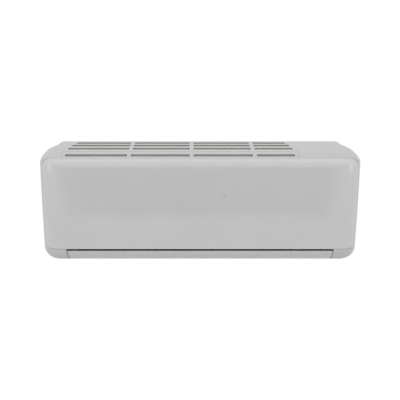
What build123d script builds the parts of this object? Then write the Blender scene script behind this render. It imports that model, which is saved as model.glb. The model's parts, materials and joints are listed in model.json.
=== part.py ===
from build123d import *
import math
import os

# Mini split indoor unit, wall hung.  Millimetres.
# +X is to the right for someone facing the unit, the front faces -Y, +Z is up.
# The origin is the centre of the mounting plate's bolt pattern, on the wall plane Y = 0.

# ---------------------------------------------------------------- overall body
WIDTH = 800.0
HEIGHT = 273.0
DEPTH = 200.0
TOP_OVER_BOLTS = 115.0
REAR_WIDTH = 768.0
FLARE_START = 20.0
FLARE_END = 81.0
FLARE_RADIUS = 69.0
PLAN_CORNER_RADIUS = 45.0
TOP_EDGE_RADIUS = 20.0
BOTTOM_EDGE_RADIUS = 32.0
FRONT_BOW = 4.0
BOW_CREST = -20.0
TOP_SLOPE_RUN = 58.0
TOP_SLOPE_DROP = 8.1
TOP_SLOPE_RADIUS = 200.0
WALL = 2.5

TOP = TOP_OVER_BOLTS
BOTTOM = TOP - HEIGHT
FRONT = -DEPTH
HALF = WIDTH / 2
REAR_HALF = REAR_WIDTH / 2

# ---------------------------------------------------------------- clearances
SEAM = 0.4
SEAT = 0.3
RUN_FIT = 0.05
PRESS_GAP = 0.02
SCREW_GAP = 0.1

# ---------------------------------------------------------------- front panel
PANEL_WALL = 2.6
PANEL_BACK = 19.0
PANEL_BOTTOM = 237.0
HINGE_BACK = 18.5
HINGE_DROP = 17.0
HINGE_SWEEP = 11.7
GUTTER_WALL = 2.5
HINGE_X = 300.0
HINGE_PIN_RADIUS = 2.5
HINGE_EAR_RADIUS = 5.2
HINGE_EAR_WIDTH = 5.0
LINER_BACK = 9.5
LINER_BAR = 12.0
LINER_HALF = 372.0
ARM_WIDTH = 5.0
LENS_X = 60.0
LENS_Z = 19.0
LENS_WIDTH = 6.0
LENS_HEIGHT = 8.0

PANEL_Y = FRONT + PANEL_BACK
PANEL_LOW = TOP - PANEL_BOTTOM
HINGE_Y = FRONT + HINGE_BACK
HINGE_Z = TOP - HINGE_DROP
# half the body's width where the panel meets the casing
SEAM_HALF = HALF - PLAN_CORNER_RADIUS + math.sqrt(
    PLAN_CORNER_RADIUS ** 2 - (PLAN_CORNER_RADIUS + FRONT_BOW - PANEL_BACK) ** 2)

# ---------------------------------------------------------------- face frame of the casing
FRAME_BACK = 24.5
FRAME_WALL = 2.5
WINDOW_LEFT = -341.0
WINDOW_RIGHT = 261.0
WINDOW_LOW = -98.0
WINDOW_HIGH = 78.0
MULLION_X = -40.0
MULLION_WIDTH = 8.0
RAIL_LOW = -122.5

FRAME_Y = FRONT + FRAME_BACK

# ---------------------------------------------------------------- flap (horizontal louver)
FLAP_TOP = -127.5
FLAP_TOP_HALF = 336.0
FLAP_LOW_HALF = 331.0
FLAP_GAP = 1.8
FLAP_WALL = 3.5
FLAP_REAR = -112.0
FLAP_LINER_WALL = 1.6
FLAP_LINER_HALF = 324.0
FLAP_PIN_RADIUS = 3.0
FLAP_HUB_RADIUS = 5.0
FLAP_HUB_WIDTH = 4.0
FLAP_PIVOT_Y = -114.0
FLAP_PIVOT_RISE = 8.5
FLAP_PIVOT_Z = BOTTOM + FLAP_PIVOT_RISE
FLAP_EDGE_RADIUS = 2.5
CHEEK_GAP = 1.9
CHEEK_WALL = 2.0
MOUTH_REAR = -107.0

# ---------------------------------------------------------------- fan, scroll and outlet duct
FAN_Y = -92.0
FAN_Z = -40.0
FAN_RADIUS = 46.0
FAN_LEFT = -332.0
FAN_RIGHT = 250.0
FAN_BLADES = 28
FAN_SEGMENTS = 5
BLADE_INNER_RADIUS = 34.0
BLADE_BULGE = 2.6
BLADE_LEAN = 22.0
BLADE_THICK = 1.1
FAN_DISC = 2.0
FAN_HUB_RADIUS = 12.0
FAN_HUB_LENGTH = 14.0
SHAFT_RADIUS = 4.0
DUCT_LEFT = -340.0
DUCT_RIGHT = 258.0
DUCT_WALL = 2.5
TONGUE = (-134.0, -80.0)
CEILING_FRONT = (-175.2, -119.5)
SCROLL_TOP = (-50.0, -4.0)
SCROLL_BACK = (-38.0, -45.0)
SCROLL_LOW = (-56.0, -95.0)

# ---------------------------------------------------------------- coil
COIL_THICK = 25.0
COIL_PLATE = 1.2
COIL_MARGIN = 1.5
COIL_FOOT = -73.8
TUBE_RADIUS = 3.5
BEND_REACH = 9.0
# centre Y, centre Z, length, lean back from upright in degrees
FRONT_LOWER_SLAB = (-158.0, -30.5, 71.0, 0.0)
FRONT_UPPER_SLAB = (-136.0, 46.0, 74.0, -35.0)
REAR_SLAB = (-65.0, 46.0, 74.0, 35.0)

# ---------------------------------------------------------------- filters
FILTER_WALL = 2.5
FILTER_RIM = 8.0
FILTER_RIB = 4.0
FILTER_LOW = -58.0
FILTER_TOP = 89.5
FILTER_REAR = -50.0
FILTER_KNEE_BEND = 25.0
FILTER_TOP_BEND = 10.0
FILTER_COIL_GAP = 0.9
FILTER_LAP = 2.5
FILTER_COLUMNS = 4
MESH_WALL = 0.5
MESH_GAP = 0.05
FILTER_LIFT = 8.0

# ---------------------------------------------------------------- vertical vanes
VANE_PITCH = 56.0
VANES_PER_GROUP = 5
GROUP_OFFSET = 150.0
VANE_AXIS_RUN = 24.0
VANE_UPSTREAM = 12.0
VANE_DOWNSTREAM = 24.0
VANE_START = 3.0
VANE_SPAN = 31.0
VANE_WALL = 1.6
VANE_PIN_RADIUS = 2.5
VANE_PIN_DEPTH = 4.0
CRANK_ARM = 8.0
CRANK_PIN_RADIUS = 1.6
BAR_WIDTH = 7.0
BAR_WALL = 2.0
BAR_GAP = 0.6

# ---------------------------------------------------------------- wall plate
PLATE_WIDTH = 600.0
PLATE_LOW = -70.0
PLATE_HIGH = 80.0
PLATE_WALL = 1.2
WINDOW_WIDTH = 110.0         # the plate's three cut-outs
WINDOW_HEIGHT = 60.0
WINDOW_CORNER = 4.0
WINDOW_SPACING = 150.0
BOLT_SPACING_X = 450.0
BOLT_SPACING_Z = 70.0
BOLT_HOLE_RADIUS = 3.5
HOOK_X = 200.0
HOOK_WIDTH = 40.0
HOOK_REACH = 10.0
HOOK_HEIGHT = 11.0
BACK_GAP = 14.0

# ---------------------------------------------------------------- motor end
MOTOR_RADIUS = 33.0
MOTOR_LEFT = 276.0
MOTOR_LENGTH = 56.0
MOTOR_BOSS_RADIUS = 12.0
MOTOR_BOSS_LENGTH = 9.0
MOTOR_RUBBER_RADIUS = 35.0
MOTOR_RUBBER_WIDTH = 16.0
CRADLE_WALL = 7.0
CLAMP_LUG = 10.0
CLAMP_LUG_WALL = 6.0

# ---------------------------------------------------------------- pipes
GAS_RADIUS = 4.76
LIQUID_RADIUS = 3.175
GAS_Y = -36.0
LIQUID_Y = -24.0
GAS_Z = -106.0
LIQUID_Z = -128.0
PIPE_BEND = 14.0
PIPE_END = -120.0
DRAIN_RADIUS = 8.0
DRAIN_BORE = 6.4
DRAIN_X = -357.0
DRAIN_Z = -104.0


# ================================================================ helpers
def block(x0, x1, y0, y1, z0, z1):
    """A box between two corners."""
    centre = Pos((x0 + x1) / 2, (y0 + y1) / 2, (z0 + z1) / 2)
    return centre * Box(x1 - x0, y1 - y0, z1 - z0)


def prism_x(face_yz, x0, x1):
    """A sketch drawn as (Y, Z), pushed along X."""
    return Pos(x0, 0, 0) * extrude(Plane.YZ * face_yz, x1 - x0, dir=(1, 0, 0))


def rod_x(radius, x0, x1, y, z):
    """A round bar along X."""
    return Pos((x0 + x1) / 2, y, z) * Rot(0, 90, 0) * Cylinder(radius, x1 - x0)


def rod_y(radius, y0, y1, x, z):
    """A round bar along Y."""
    return Pos(x, (y0 + y1) / 2, z) * Rot(90, 0, 0) * Cylinder(radius, y1 - y0)


def ring_x(outer, inner, x0, x1, y, z):
    """A round sleeve along X."""
    return rod_x(outer, x0, x1, y, z) - rod_x(inner, x0 - 1, x1 + 1, y, z)


def across_x(x, y, z):
    """Location whose local X and Y are the world's Y and Z, with local Z along the world's X."""
    return Plane(origin=(x, y, z), x_dir=(0, 1, 0), z_dir=(1, 0, 0)).location


def polygon(*points):
    """A flat face with straight sides."""
    return make_face(Polyline(*points, close=True))


def pipe(points, radius, bend, bore=0.0):
    """A tube along straight runs joined by tangent arcs."""
    path = FilletPolyline(*points, radius=bend)
    start = Plane(origin=path @ 0, z_dir=path % 0)
    tube = sweep(start * Circle(radius), path=path)
    if bore:
        tube = tube - sweep(start * Circle(bore), path=path)
    return tube


def plan_outline(inset, bow, z):
    """The body's outline seen from above: narrow at the wall, flared, round at the front."""
    side = HALF - inset
    rear = REAR_HALF - inset
    front = FRONT + bow + inset
    corner = PLAN_CORNER_RADIUS - inset
    points = [
        (-rear, 0), (-rear, -FLARE_START), (-side, -FLARE_END), (-side, front),
        (side, front), (side, -FLARE_END), (rear, -FLARE_START), (rear, 0),
    ]
    radii = [0, FLARE_RADIUS, FLARE_RADIUS, corner, corner, FLARE_RADIUS, FLARE_RADIUS, 0]
    return Pos(0, 0, z) * make_face(FilletPolyline(*points, radius=radii, close=True))


def rim_edges(solid, z_low, z_high):
    """The edges round the top or bottom face, without the straight one at the wall."""
    found = []
    for edge in solid.edges():
        box = edge.bounding_box()
        at_wall = box.min.Y > -0.01
        if box.min.Z > z_low and box.max.Z < z_high and not at_wall:
            found.append(edge)
    return found


def slope_creases(edge):
    """True for the two edges that only cross the top from side to side."""
    box = edge.bounding_box()
    return box.size.X > WIDTH / 2 and box.min.Y > FRONT + FRONT_BOW + TOP_EDGE_RADIUS


def envelope(inset):
    """The whole outer form, moved inwards by inset."""
    levels = [(BOTTOM + inset, FRONT_BOW), (BOW_CREST, 0.0), (TOP - inset, FRONT_BOW)]
    body = loft([plan_outline(inset, bow, z) for z, bow in levels])
    crown = FilletPolyline(
        (10, TOP - inset), (FRONT + TOP_SLOPE_RUN, TOP - inset),
        (FRONT - TOP_SLOPE_RUN, TOP - inset - 2 * TOP_SLOPE_DROP),
        (FRONT - TOP_SLOPE_RUN, BOTTOM - 10), (10, BOTTOM - 10),
        radius=[0, TOP_SLOPE_RADIUS, 0, 0, 0], close=True)
    body = body & prism_x(make_face(crown), -WIDTH, WIDTH)
    upper = [e for e in rim_edges(body, TOP - inset - 1.5 * TOP_SLOPE_DROP, TOP + 1)
             if not slope_creases(e)]
    body = fillet(upper, TOP_EDGE_RADIUS - inset)
    lower = rim_edges(body, BOTTOM - 1, BOTTOM + inset + 0.1)
    return fillet(lower, BOTTOM_EDGE_RADIUS - inset)


BODY = envelope(0)
BODY_INSIDE = envelope(WALL)


def slab_point(slab, along, out):
    """A point of a coil slab as (Y, Z): along its length, and out from its middle to the front."""
    y, z, _, lean = slab
    angle = math.radians(-lean)
    return (y + along * math.sin(angle) - out * math.cos(angle),
            z + along * math.cos(angle) + out * math.sin(angle))


def slab_face(slab, grow=0.0):
    """The section of a coil slab."""
    length = slab[2] / 2 + grow
    half = COIL_THICK / 2 + grow
    corners = [(-length, -half), (length, -half), (length, half), (-length, half)]
    return polygon(*[slab_point(slab, along, out) for along, out in corners])


def along_line(start, run, drop):
    """A point run millimetres down the duct ceiling and drop millimetres into the duct."""
    return (start[0] + run * DUCT_DIR[0] + drop * DUCT_NORMAL[0],
            start[1] + run * DUCT_DIR[1] + drop * DUCT_NORMAL[1])


CEILING_LENGTH = math.hypot(CEILING_FRONT[0] - TONGUE[0], CEILING_FRONT[1] - TONGUE[1])
DUCT_DIR = ((CEILING_FRONT[0] - TONGUE[0]) / CEILING_LENGTH,
            (CEILING_FRONT[1] - TONGUE[1]) / CEILING_LENGTH)
DUCT_NORMAL = (-DUCT_DIR[1], DUCT_DIR[0])
VANE_AXIS = along_line(TONGUE, VANE_AXIS_RUN, 0)
DUCT_MIDDLE = (DUCT_LEFT + DUCT_RIGHT) / 2
FILTER_TOTAL_LIMITS = (WINDOW_LEFT - FILTER_LAP, WINDOW_RIGHT + FILTER_LAP)


# ================================================================ casing
# the insert's ends bow outwards: X at the rear, at GRILLE_MIDDLE and at the front
GRILLE_LEFT = (-331.0, -346.0, -342.0)
GRILLE_RIGHT = (232.0, 246.0, 242.0)
GRILLE_MIDDLE = -80.0
GRILLE_FRONT = FRONT + 27.5
GRILLE_REAR = -10.0
GRILLE_WALL = WALL - 0.1
GRILLE_DEPTH = 9.0
GRILLE_WEB = 2.2
SLOT_MARGIN = 8.5
SLOT_BARS = (-177.0, -21.0, 136.0)
SLOT_BAR_WIDTH = 10.0
# distance of each slot row behind the front, and its width
SLOT_ROWS = ((38.0, 15.0), (104.0, 20.0), (143.0, 20.0), (176.0, 17.0))
GROOVE_BACK = 66.0
GROOVE_WIDTH = 2.5
GROOVE_DEPTH = 0.8
LEDGE_WIDTH = 4.0
LEDGE_WALL = 2.3
RAIL_SCREW_X = (-250.0, MULLION_X, 200.0)
RAIL_SCREW_Z = -110.0
SCREW_RADIUS = 1.9
SCREW_HEAD_RADIUS = 3.8
SCREW_HEAD = 2.2
SCREW_LENGTH = 12.5
CAP_RADIUS = 5.5
CAP_WALL = 1.2
BUTTON_X = 300.0
BUTTON_Z = 50.0
BUTTON_RADIUS = 4.0
BUTTON_TRAVEL = 2.0
COVER_LEFT = 285.0
COVER_RIGHT = 372.0
COVER_LOW = -90.0
COVER_HIGH = -10.0
COVER_WALL = 2.0
BLANK_WALL = 2.0
BASE_HALF = 328.0


def grille_area(grow, z_low, inset=None):
    """The outline that the grille insert fills, grown all round, or moved in at its bowed ends."""
    side = grow if inset is None else -inset
    front = GRILLE_FRONT - grow
    rear = GRILLE_REAR + grow
    left = ThreePointArc((GRILLE_LEFT[0] - side, rear), (GRILLE_LEFT[1] - side, GRILLE_MIDDLE),
                         (GRILLE_LEFT[2] - side, front))
    right = ThreePointArc((GRILLE_RIGHT[2] + side, front), (GRILLE_RIGHT[1] + side, GRILLE_MIDDLE),
                          (GRILLE_RIGHT[0] + side, rear))
    face = make_face([left, Line(left @ 1, right @ 0), right, Line(right @ 1, left @ 0)])
    return Pos(0, 0, z_low) * extrude(face, TOP + 5 - z_low, dir=(0, 0, 1))


def front_casing():
    """Outer shell with the face frame behind the panel and the cheeks beside the flap."""
    shell = BODY - BODY_INSIDE
    shell = shell - block(-WIDTH, WIDTH, FRONT - 10, PANEL_Y + SEAM, PANEL_LOW - 2 * SEAM, TOP + 10)
    frame = BODY & block(-WIDTH, WIDTH, FRAME_Y - FRAME_WALL, FRAME_Y, RAIL_LOW, TOP + 10)
    for x0, x1 in window_spans():
        frame = frame - block(x0, x1, FRAME_Y - 10, FRAME_Y + 10, WINDOW_LOW, WINDOW_HIGH)
    casing = shell + frame + hinge_gutter() + cheek_walls() + mouth_blank()
    casing = casing - sweep_room()
    casing = casing - flap_space(FLAP_GAP)
    casing = casing - block(-BASE_HALF - SEAM, BASE_HALF + SEAM, MOUTH_REAR, 5,
                            BOTTOM - 1, BOTTOM + 2 * WALL)
    casing = casing + grille_ledge() + hinge_ears()
    casing = casing - grille_area(SEAM, TOP_UNDER_GRILLE)
    for x in RAIL_SCREW_X:
        casing = casing - rod_y(SCREW_RADIUS + SCREW_GAP, FRAME_Y - 10, FRAME_Y + 1, x, RAIL_SCREW_Z)
    casing = casing - rod_y(BUTTON_RADIUS + 2 * RUN_FIT, FRAME_Y - 10, FRAME_Y + 1, BUTTON_X, BUTTON_Z)
    casing = casing - block(COVER_LEFT + 6, COVER_RIGHT - 6, FRAME_Y - 10, FRAME_Y + 1,
                            COVER_LOW + 6, COVER_HIGH - 6)
    pin_hole = FLAP_PIN_RADIUS + RUN_FIT
    casing = casing - rod_x(pin_hole, -FLAP_LINER_HALF - 40, FLAP_LINER_HALF + 40,
                            FLAP_PIVOT_Y, FLAP_PIVOT_Z)
    return casing


TOP_UNDER_GRILLE = TOP - 30.0


def window_spans():
    """The two filter windows, left and right of the mullion."""
    half = MULLION_WIDTH / 2
    return [(WINDOW_LEFT, MULLION_X - half), (MULLION_X + half, WINDOW_RIGHT)]


# Heights over the hinge line, and the half width of the panel's back edge at each, with its gap.
SEAM_END = ((0.0, 389.6), (2.2, 388.1), (4.1, 386.5), (7.0, 383.0), (9.0, 379.2), (10.0, 376.6),
            (11.0, 372.0), (HINGE_SWEEP, 366.0))


def sweep_room():
    """The room in which the panel's top edge and its round corners swing about the hinge."""
    rim = [(x, rise) for rise, x in SEAM_END] + [(-x, rise) for rise, x in reversed(SEAM_END)]
    return Pos(0, HINGE_Y, HINGE_Z) * revolve(polygon(*rim), Axis.X)


def hinge_gutter():
    """A trough behind the panel's top edge, so that the edge can swing inside."""
    outer = HINGE_SWEEP + GUTTER_WALL
    trough = rod_x(outer, -SEAM_HALF - GUTTER_WALL, SEAM_HALF + GUTTER_WALL, HINGE_Y, HINGE_Z)
    return trough & BODY & block(-WIDTH, WIDTH, FRAME_Y - FRAME_WALL, 0, BOTTOM, TOP + 5)


def ear_profile(reach):
    """A hinge ear: a round eye with a web that runs back into the gutter."""
    web = [(HINGE_Y, HINGE_Z)]
    for angle in (-8, -50):
        turn = math.radians(angle)
        web.append((HINGE_Y + reach * math.cos(turn), HINGE_Z + reach * math.sin(turn)))
    web.append((HINGE_Y, HINGE_Z - HINGE_EAR_RADIUS))
    return polygon(*web)


def hinge_ears():
    """Two eyes that carry the panel's pins."""
    ears = None
    for side in (-1, 1):
        near = HINGE_X + SEAT
        x0 = min(side * near, side * (near + HINGE_EAR_WIDTH))
        x1 = x0 + HINGE_EAR_WIDTH
        ear = prism_x(ear_profile(HINGE_SWEEP + GUTTER_WALL / 2), x0, x1)
        ear = ear + rod_x(HINGE_EAR_RADIUS, x0, x1, HINGE_Y, HINGE_Z)
        ear = ear - rod_x(HINGE_PIN_RADIUS + RUN_FIT, x0 - 1, x1 + 1, HINGE_Y, HINGE_Z)
        ears = ear if ears is None else ears + ear
    return ears


def grille_ledge():
    """A rim under the edge of the opening, which the grille lies on."""
    inner = grille_area(-LEDGE_WIDTH, TOP_UNDER_GRILLE)
    outer = grille_area(LEDGE_WIDTH, TOP_UNDER_GRILLE)
    ring = outer - inner - block(-WIDTH, WIDTH, FRONT, GRILLE_FRONT + LEDGE_WIDTH, BOTTOM, TOP)
    return ring & (BODY_INSIDE - envelope(WALL + LEDGE_WALL))


def cheek_walls():
    """The upright walls at both ends of the outlet, which carry the flap."""
    walls = None
    for side in (-1, 1):
        near = FLAP_TOP_HALF + CHEEK_GAP
        x0 = min(side * near, side * (near + CHEEK_WALL))
        wall = block(x0, x0 + CHEEK_WALL, FRONT, MOUTH_REAR + 1.5, BOTTOM, RAIL_LOW - 2)
        wall = wall + block(x0, x0 + CHEEK_WALL, FRONT, FRAME_Y, BOTTOM, RAIL_LOW)
        wall = wall + block(x0, x0 + CHEEK_WALL, FRAME_Y - FRAME_WALL, FRAME_Y, BOTTOM, RAIL_LOW + 3)
        wall = wall & BODY
        walls = wall if walls is None else walls + wall
    return walls


def mouth_blank():
    """The sloping wall behind the flap, where no air comes out, beside the duct."""
    rear = FLAP_PIVOT_Y + 10
    line = Polyline((FRAME_Y - 1, RAIL_LOW + 1), (FLAP_PIVOT_Y, FLAP_PIVOT_Z + 12),
                    (rear, FLAP_PIVOT_Z + 8), (rear, BOTTOM + 1))
    blank = prism_x(trace(line, BLANK_WALL), DUCT_RIGHT + TRAY_END + TRAY_WALL + SEAM,
                    FLAP_TOP_HALF + 2)
    return blank & BODY


def flap_space(gap):
    """The tapered space that the flap fills, seen from the front."""
    top = FLAP_TOP_HALF + gap
    low = FLAP_LOW_HALF + gap
    upper = RAIL_LOW if gap else FLAP_TOP
    rear = MOUTH_REAR if gap else FLAP_REAR
    face = polygon((-top, FLAP_TOP), (top, FLAP_TOP), (low, BOTTOM - 1), (-low, BOTTOM - 1))
    if gap:
        face = face + polygon((-top, FLAP_TOP), (-top, upper), (top, upper), (top, FLAP_TOP))
    wedge = Pos(0, rear, 0) * extrude(Plane.XZ * face, rear - FRONT + 5, dir=(0, -1, 0))
    if gap:
        return wedge - block(-WIDTH, WIDTH, FRAME_Y + 30, 0, BOTTOM + 2 * WALL, TOP)
    return wedge


def top_grille():
    """Air inlet: an insert with three long cells, a short one and a solid strip."""
    insert = grille_area(0, TOP_UNDER_GRILLE) & (BODY - envelope(GRILLE_WALL))
    deep = BODY - envelope(GRILLE_DEPTH)
    web_area = grille_area(0, TOP_UNDER_GRILLE, inset=SLOT_MARGIN - GRILLE_WEB)
    slot_area = grille_area(0, TOP_UNDER_GRILLE, inset=SLOT_MARGIN)
    for bar in SLOT_BARS:
        slot_area = slot_area - block(bar - SLOT_BAR_WIDTH / 2, bar + SLOT_BAR_WIDTH / 2,
                                      FRONT, 0, BOTTOM, TOP + 10)
    webs = None
    slots = None
    for back, width in SLOT_ROWS:
        y = FRONT + back
        half = width / 2
        row = block(-WIDTH, WIDTH, y - half, y + half, TOP_UNDER_GRILLE, TOP + 1)
        wall = block(-WIDTH, WIDTH, y - half - GRILLE_WEB, y + half + GRILLE_WEB,
                     TOP_UNDER_GRILLE, TOP)
        slots = row if slots is None else slots + row
        webs = wall if webs is None else webs + wall
    insert = insert + (deep & web_area & webs) - (slot_area & slots)
    groove_y = FRONT + GROOVE_BACK
    groove = grille_area(0, TOP - GROOVE_DEPTH, inset=4)
    groove = groove & block(-WIDTH, WIDTH, groove_y, groove_y + GROOVE_WIDTH, BOTTOM, TOP + 1)
    return insert - groove - sweep_room()


def screw(x, head_face, z):
    """One tapping screw driven towards the wall."""
    head = rod_y(SCREW_HEAD_RADIUS, head_face - SCREW_HEAD, head_face, x, z)
    return head + rod_y(SCREW_RADIUS, head_face - 0.5, head_face + SCREW_LENGTH, x, z)


def screws():
    """Identical screws: three through the bottom rail into the tray, two in the motor clamp."""
    group = [screw(x, FRAME_Y - FRAME_WALL, RAIL_SCREW_Z) for x in RAIL_SCREW_X]
    middle = MOTOR_LEFT + MOTOR_LENGTH / 2
    group += [screw(middle, FAN_Y - CLAMP_LUG_WALL, z) for z in clamp_screw_heights()]
    return Compound(group)


def screw_caps():
    """Snap caps over the casing screws."""
    caps = []
    face = FRAME_Y - FRAME_WALL
    front = face - SCREW_HEAD - 0.3 - CAP_WALL
    for x in RAIL_SCREW_X:
        cap = rod_y(CAP_RADIUS, front, face, x, RAIL_SCREW_Z)
        cap = cap - rod_y(CAP_RADIUS - CAP_WALL, front + CAP_WALL, face + 1, x, RAIL_SCREW_Z)
        caps.append(cap)
    return Compound(caps)


def wiring_cover():
    """Screwed cover over the terminal opening in the face frame."""
    face = FRAME_Y - FRAME_WALL
    cover = block(COVER_LEFT, COVER_RIGHT, face - COVER_WALL, face, COVER_LOW, COVER_HIGH)
    rib = block(COVER_LEFT + 6.5, COVER_RIGHT - 6.5, face - 0.5, FRAME_Y + 2,
                COVER_LOW + 6.5, COVER_HIGH - 6.5)
    rib = rib - block(COVER_LEFT + 8, COVER_RIGHT - 8, face - 1, FRAME_Y + 3,
                      COVER_LOW + 8, COVER_HIGH - 8)
    return cover + rib


# ================================================================ front panel
def front_panel():
    """The glossy front: one shell with a rolled top edge and a closed bottom edge."""
    limits = block(-WIDTH, WIDTH, FRONT - 5, PANEL_Y, PANEL_LOW, TOP + 5)
    skin = (BODY - envelope(PANEL_WALL)) & limits
    lip = BODY & block(-WIDTH, WIDTH, FRONT - 5, PANEL_Y - 4, PANEL_LOW, PANEL_LOW + PANEL_WALL)
    window = block(LENS_X - LENS_WIDTH / 2 - 0.1, LENS_X + LENS_WIDTH / 2 + 0.1, FRONT - 5,
                   FRONT + 10, LENS_Z - LENS_HEIGHT / 2 - 0.1, LENS_Z + LENS_HEIGHT / 2 + 0.1)
    return skin + lip - window


def panel_liner():
    """Frame of bars glued behind the panel, with the two hinge arms and their pins."""
    inside = envelope(PANEL_WALL + MESH_GAP)
    back = FRONT + LINER_BACK
    half_bar = LINER_BAR / 2
    liner = None
    columns = [-LINER_HALF + half_bar, -HINGE_X + half_bar, 0, HINGE_X - half_bar,
               LINER_HALF - half_bar]
    rows = [PANEL_LOW + PANEL_WALL + half_bar, BOW_CREST, WINDOW_HIGH - half_bar]
    for x in columns:
        bar = block(x - half_bar, x + half_bar, FRONT - 5, back, rows[0] - half_bar + 0.1,
                    rows[-1] + half_bar)
        liner = bar if liner is None else liner + bar
    for z in rows:
        low = z - half_bar + (0.1 if z == rows[0] else 0)
        liner = liner + block(-LINER_HALF, LINER_HALF, FRONT - 5, back, low, z + half_bar)
    holder = block(LENS_X - 14, LENS_X + 14, FRONT - 5, back, BOW_CREST, LENS_Z + 14)
    holder = holder - block(LENS_X - 10, LENS_X + 10, FRONT - 6, back + 1, LENS_Z - 10, LENS_Z + 10)
    liner = (liner + holder) & inside
    for side in (-1, 1):
        liner = liner + hinge_arm(side)
    return liner


def hinge_arm(side):
    """An arm from the liner to the hinge axis, with its pin."""
    x_outer = side * HINGE_X
    x_inner = side * (HINGE_X - ARM_WIDTH)
    x0 = min(x_outer, x_inner)
    back = FRONT + LINER_BACK
    profile = polygon(
        (HINGE_Y - 3.0, HINGE_Z + 3.5), (HINGE_Y - 7.5, HINGE_Z - 3.5),
        (back - 2.5, WINDOW_HIGH), (back - 2.5, WINDOW_HIGH - LINER_BAR),
        (back, WINDOW_HIGH - LINER_BAR), (HINGE_Y + 1.5, HINGE_Z - 4.7))
    arm = prism_x(profile, x0, x0 + ARM_WIDTH)
    arm = arm + rod_x(HINGE_EAR_RADIUS - 0.2, x0, x0 + ARM_WIDTH, HINGE_Y, HINGE_Z)
    tip = side * (HINGE_X + SEAT + HINGE_EAR_WIDTH + 0.5)
    pin = rod_x(HINGE_PIN_RADIUS, min(x_inner, tip), max(x_inner, tip), HINGE_Y, HINGE_Z)
    return arm + pin


def receiver_lens():
    """Small window for the remote control receiver."""
    outer = block(LENS_X - LENS_WIDTH / 2, LENS_X + LENS_WIDTH / 2, FRONT - 5, FRONT + 4,
                  LENS_Z - LENS_HEIGHT / 2, LENS_Z + LENS_HEIGHT / 2) & BODY
    flange = block(LENS_X - LENS_WIDTH / 2 - 2, LENS_X + LENS_WIDTH / 2 + 2,
                   FRONT + PANEL_WALL + 0.4, FRONT + 5,
                   LENS_Z - LENS_HEIGHT / 2 - 2, LENS_Z + LENS_HEIGHT / 2 + 2)
    return outer + (flange & envelope(PANEL_WALL + MESH_GAP))


def receiver_board():
    """Small circuit board behind the lens, held by the liner."""
    back = FRONT + LINER_BACK
    board = block(LENS_X - 13, LENS_X + 13, back, back + 1.6, LENS_Z - 13, LENS_Z + 13)
    eye = block(LENS_X - 3, LENS_X + 3, FRONT + 5.2, back, LENS_Z - 3.5, LENS_Z + 3.5)
    return board + eye


# ================================================================ flap
def flap():
    """Curved blade that closes the outlet and steers the air up or down."""
    blade = (BODY - envelope(FLAP_WALL)) & flap_space(0)
    upper = [e for e in blade.edges()
             if e.length > FLAP_TOP_HALF and e.center().Z > FLAP_TOP - 0.1]
    outer = min(upper, key=lambda e: e.center().Y)
    return fillet(outer, FLAP_EDGE_RADIUS)


def flap_liner():
    """Inner skin of the flap, with end hubs and the pins it turns on."""
    skin = envelope(FLAP_WALL + MESH_GAP) - envelope(FLAP_WALL + MESH_GAP + FLAP_LINER_WALL)
    limits = block(-FLAP_LINER_HALF, FLAP_LINER_HALF, FRONT - 5, FLAP_REAR - 1,
                   BOTTOM, FLAP_TOP - 2)
    liner = skin & limits
    for side in (-1, 1):
        x0 = min(side * FLAP_LINER_HALF, side * (FLAP_LINER_HALF - FLAP_HUB_WIDTH))
        foot = block(x0, x0 + FLAP_HUB_WIDTH, FLAP_PIVOT_Y - 16, FLAP_PIVOT_Y + 1,
                     BOTTOM + FLAP_WALL + 0.2, FLAP_PIVOT_Z)
        hub = rod_x(FLAP_HUB_RADIUS - 0.2, x0, x0 + FLAP_HUB_WIDTH, FLAP_PIVOT_Y, FLAP_PIVOT_Z)
        end = FLAP_TOP_HALF + CHEEK_GAP + CHEEK_WALL + (DRIVE_DEPTH if side > 0 else -0.3)
        x_pin = min(side * FLAP_LINER_HALF - side, side * end)
        pin = rod_x(FLAP_PIN_RADIUS, x_pin, x_pin + abs(end - FLAP_LINER_HALF + 1),
                    FLAP_PIVOT_Y, FLAP_PIVOT_Z)
        rib_space = BODY & block(-WIDTH, WIDTH, FRONT, 0, BOTTOM + FLAP_WALL + 0.2, TOP)
        liner = liner + ((foot + hub) & rib_space) + pin
    return liner


DRIVE_DEPTH = 6.0
STEPPER_RADIUS = 12.0
STEPPER_OFFSET = 7.0
STEPPER_LENGTH = 15.0


def flap_motor():
    """Geared stepper motor on the right cheek, which turns the flap's pin."""
    x0 = FLAP_TOP_HALF + CHEEK_GAP + CHEEK_WALL + 0.1
    can = rod_x(STEPPER_RADIUS, x0 + 1, x0 + STEPPER_LENGTH, FLAP_PIVOT_Y,
                FLAP_PIVOT_Z + STEPPER_OFFSET)
    tab = block(x0, x0 + 1.2, FLAP_PIVOT_Y - 19, FLAP_PIVOT_Y + 19,
                FLAP_PIVOT_Z + STEPPER_OFFSET - 4, FLAP_PIVOT_Z + STEPPER_OFFSET + 4)
    boss = rod_x(FLAP_PIN_RADIUS + 1.5, x0, x0 + 2, FLAP_PIVOT_Y, FLAP_PIVOT_Z)
    bore = rod_x(FLAP_PIN_RADIUS + RUN_FIT, x0 - 1, x0 + DRIVE_DEPTH + 0.3,
                 FLAP_PIVOT_Y, FLAP_PIVOT_Z)
    return can + tab + boss - bore


# ================================================================ chassis
CHASSIS_GAP = WALL + SEAT
CHASSIS_WALL = 2.5
RECESS_TOP = -85.0
RECESS_REAR_EDGE = -48.0
END_DISC_RADIUS = 48.5
BEARING_HOLE = 16.1
SHAFT_HOLE = 9.0
HANG_LIP_DROP = 12.0
POST_SIZE = 12.0


def scroll_line():
    """The line of the scroll behind the fan, from the rear gutter to the outlet's lip."""
    arc = ThreePointArc(SCROLL_TOP, SCROLL_BACK, SCROLL_LOW)
    lip = (MOUTH_REAR + 3, BOTTOM + WALL)
    return [arc, Line(SCROLL_LOW, lip)]


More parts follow.
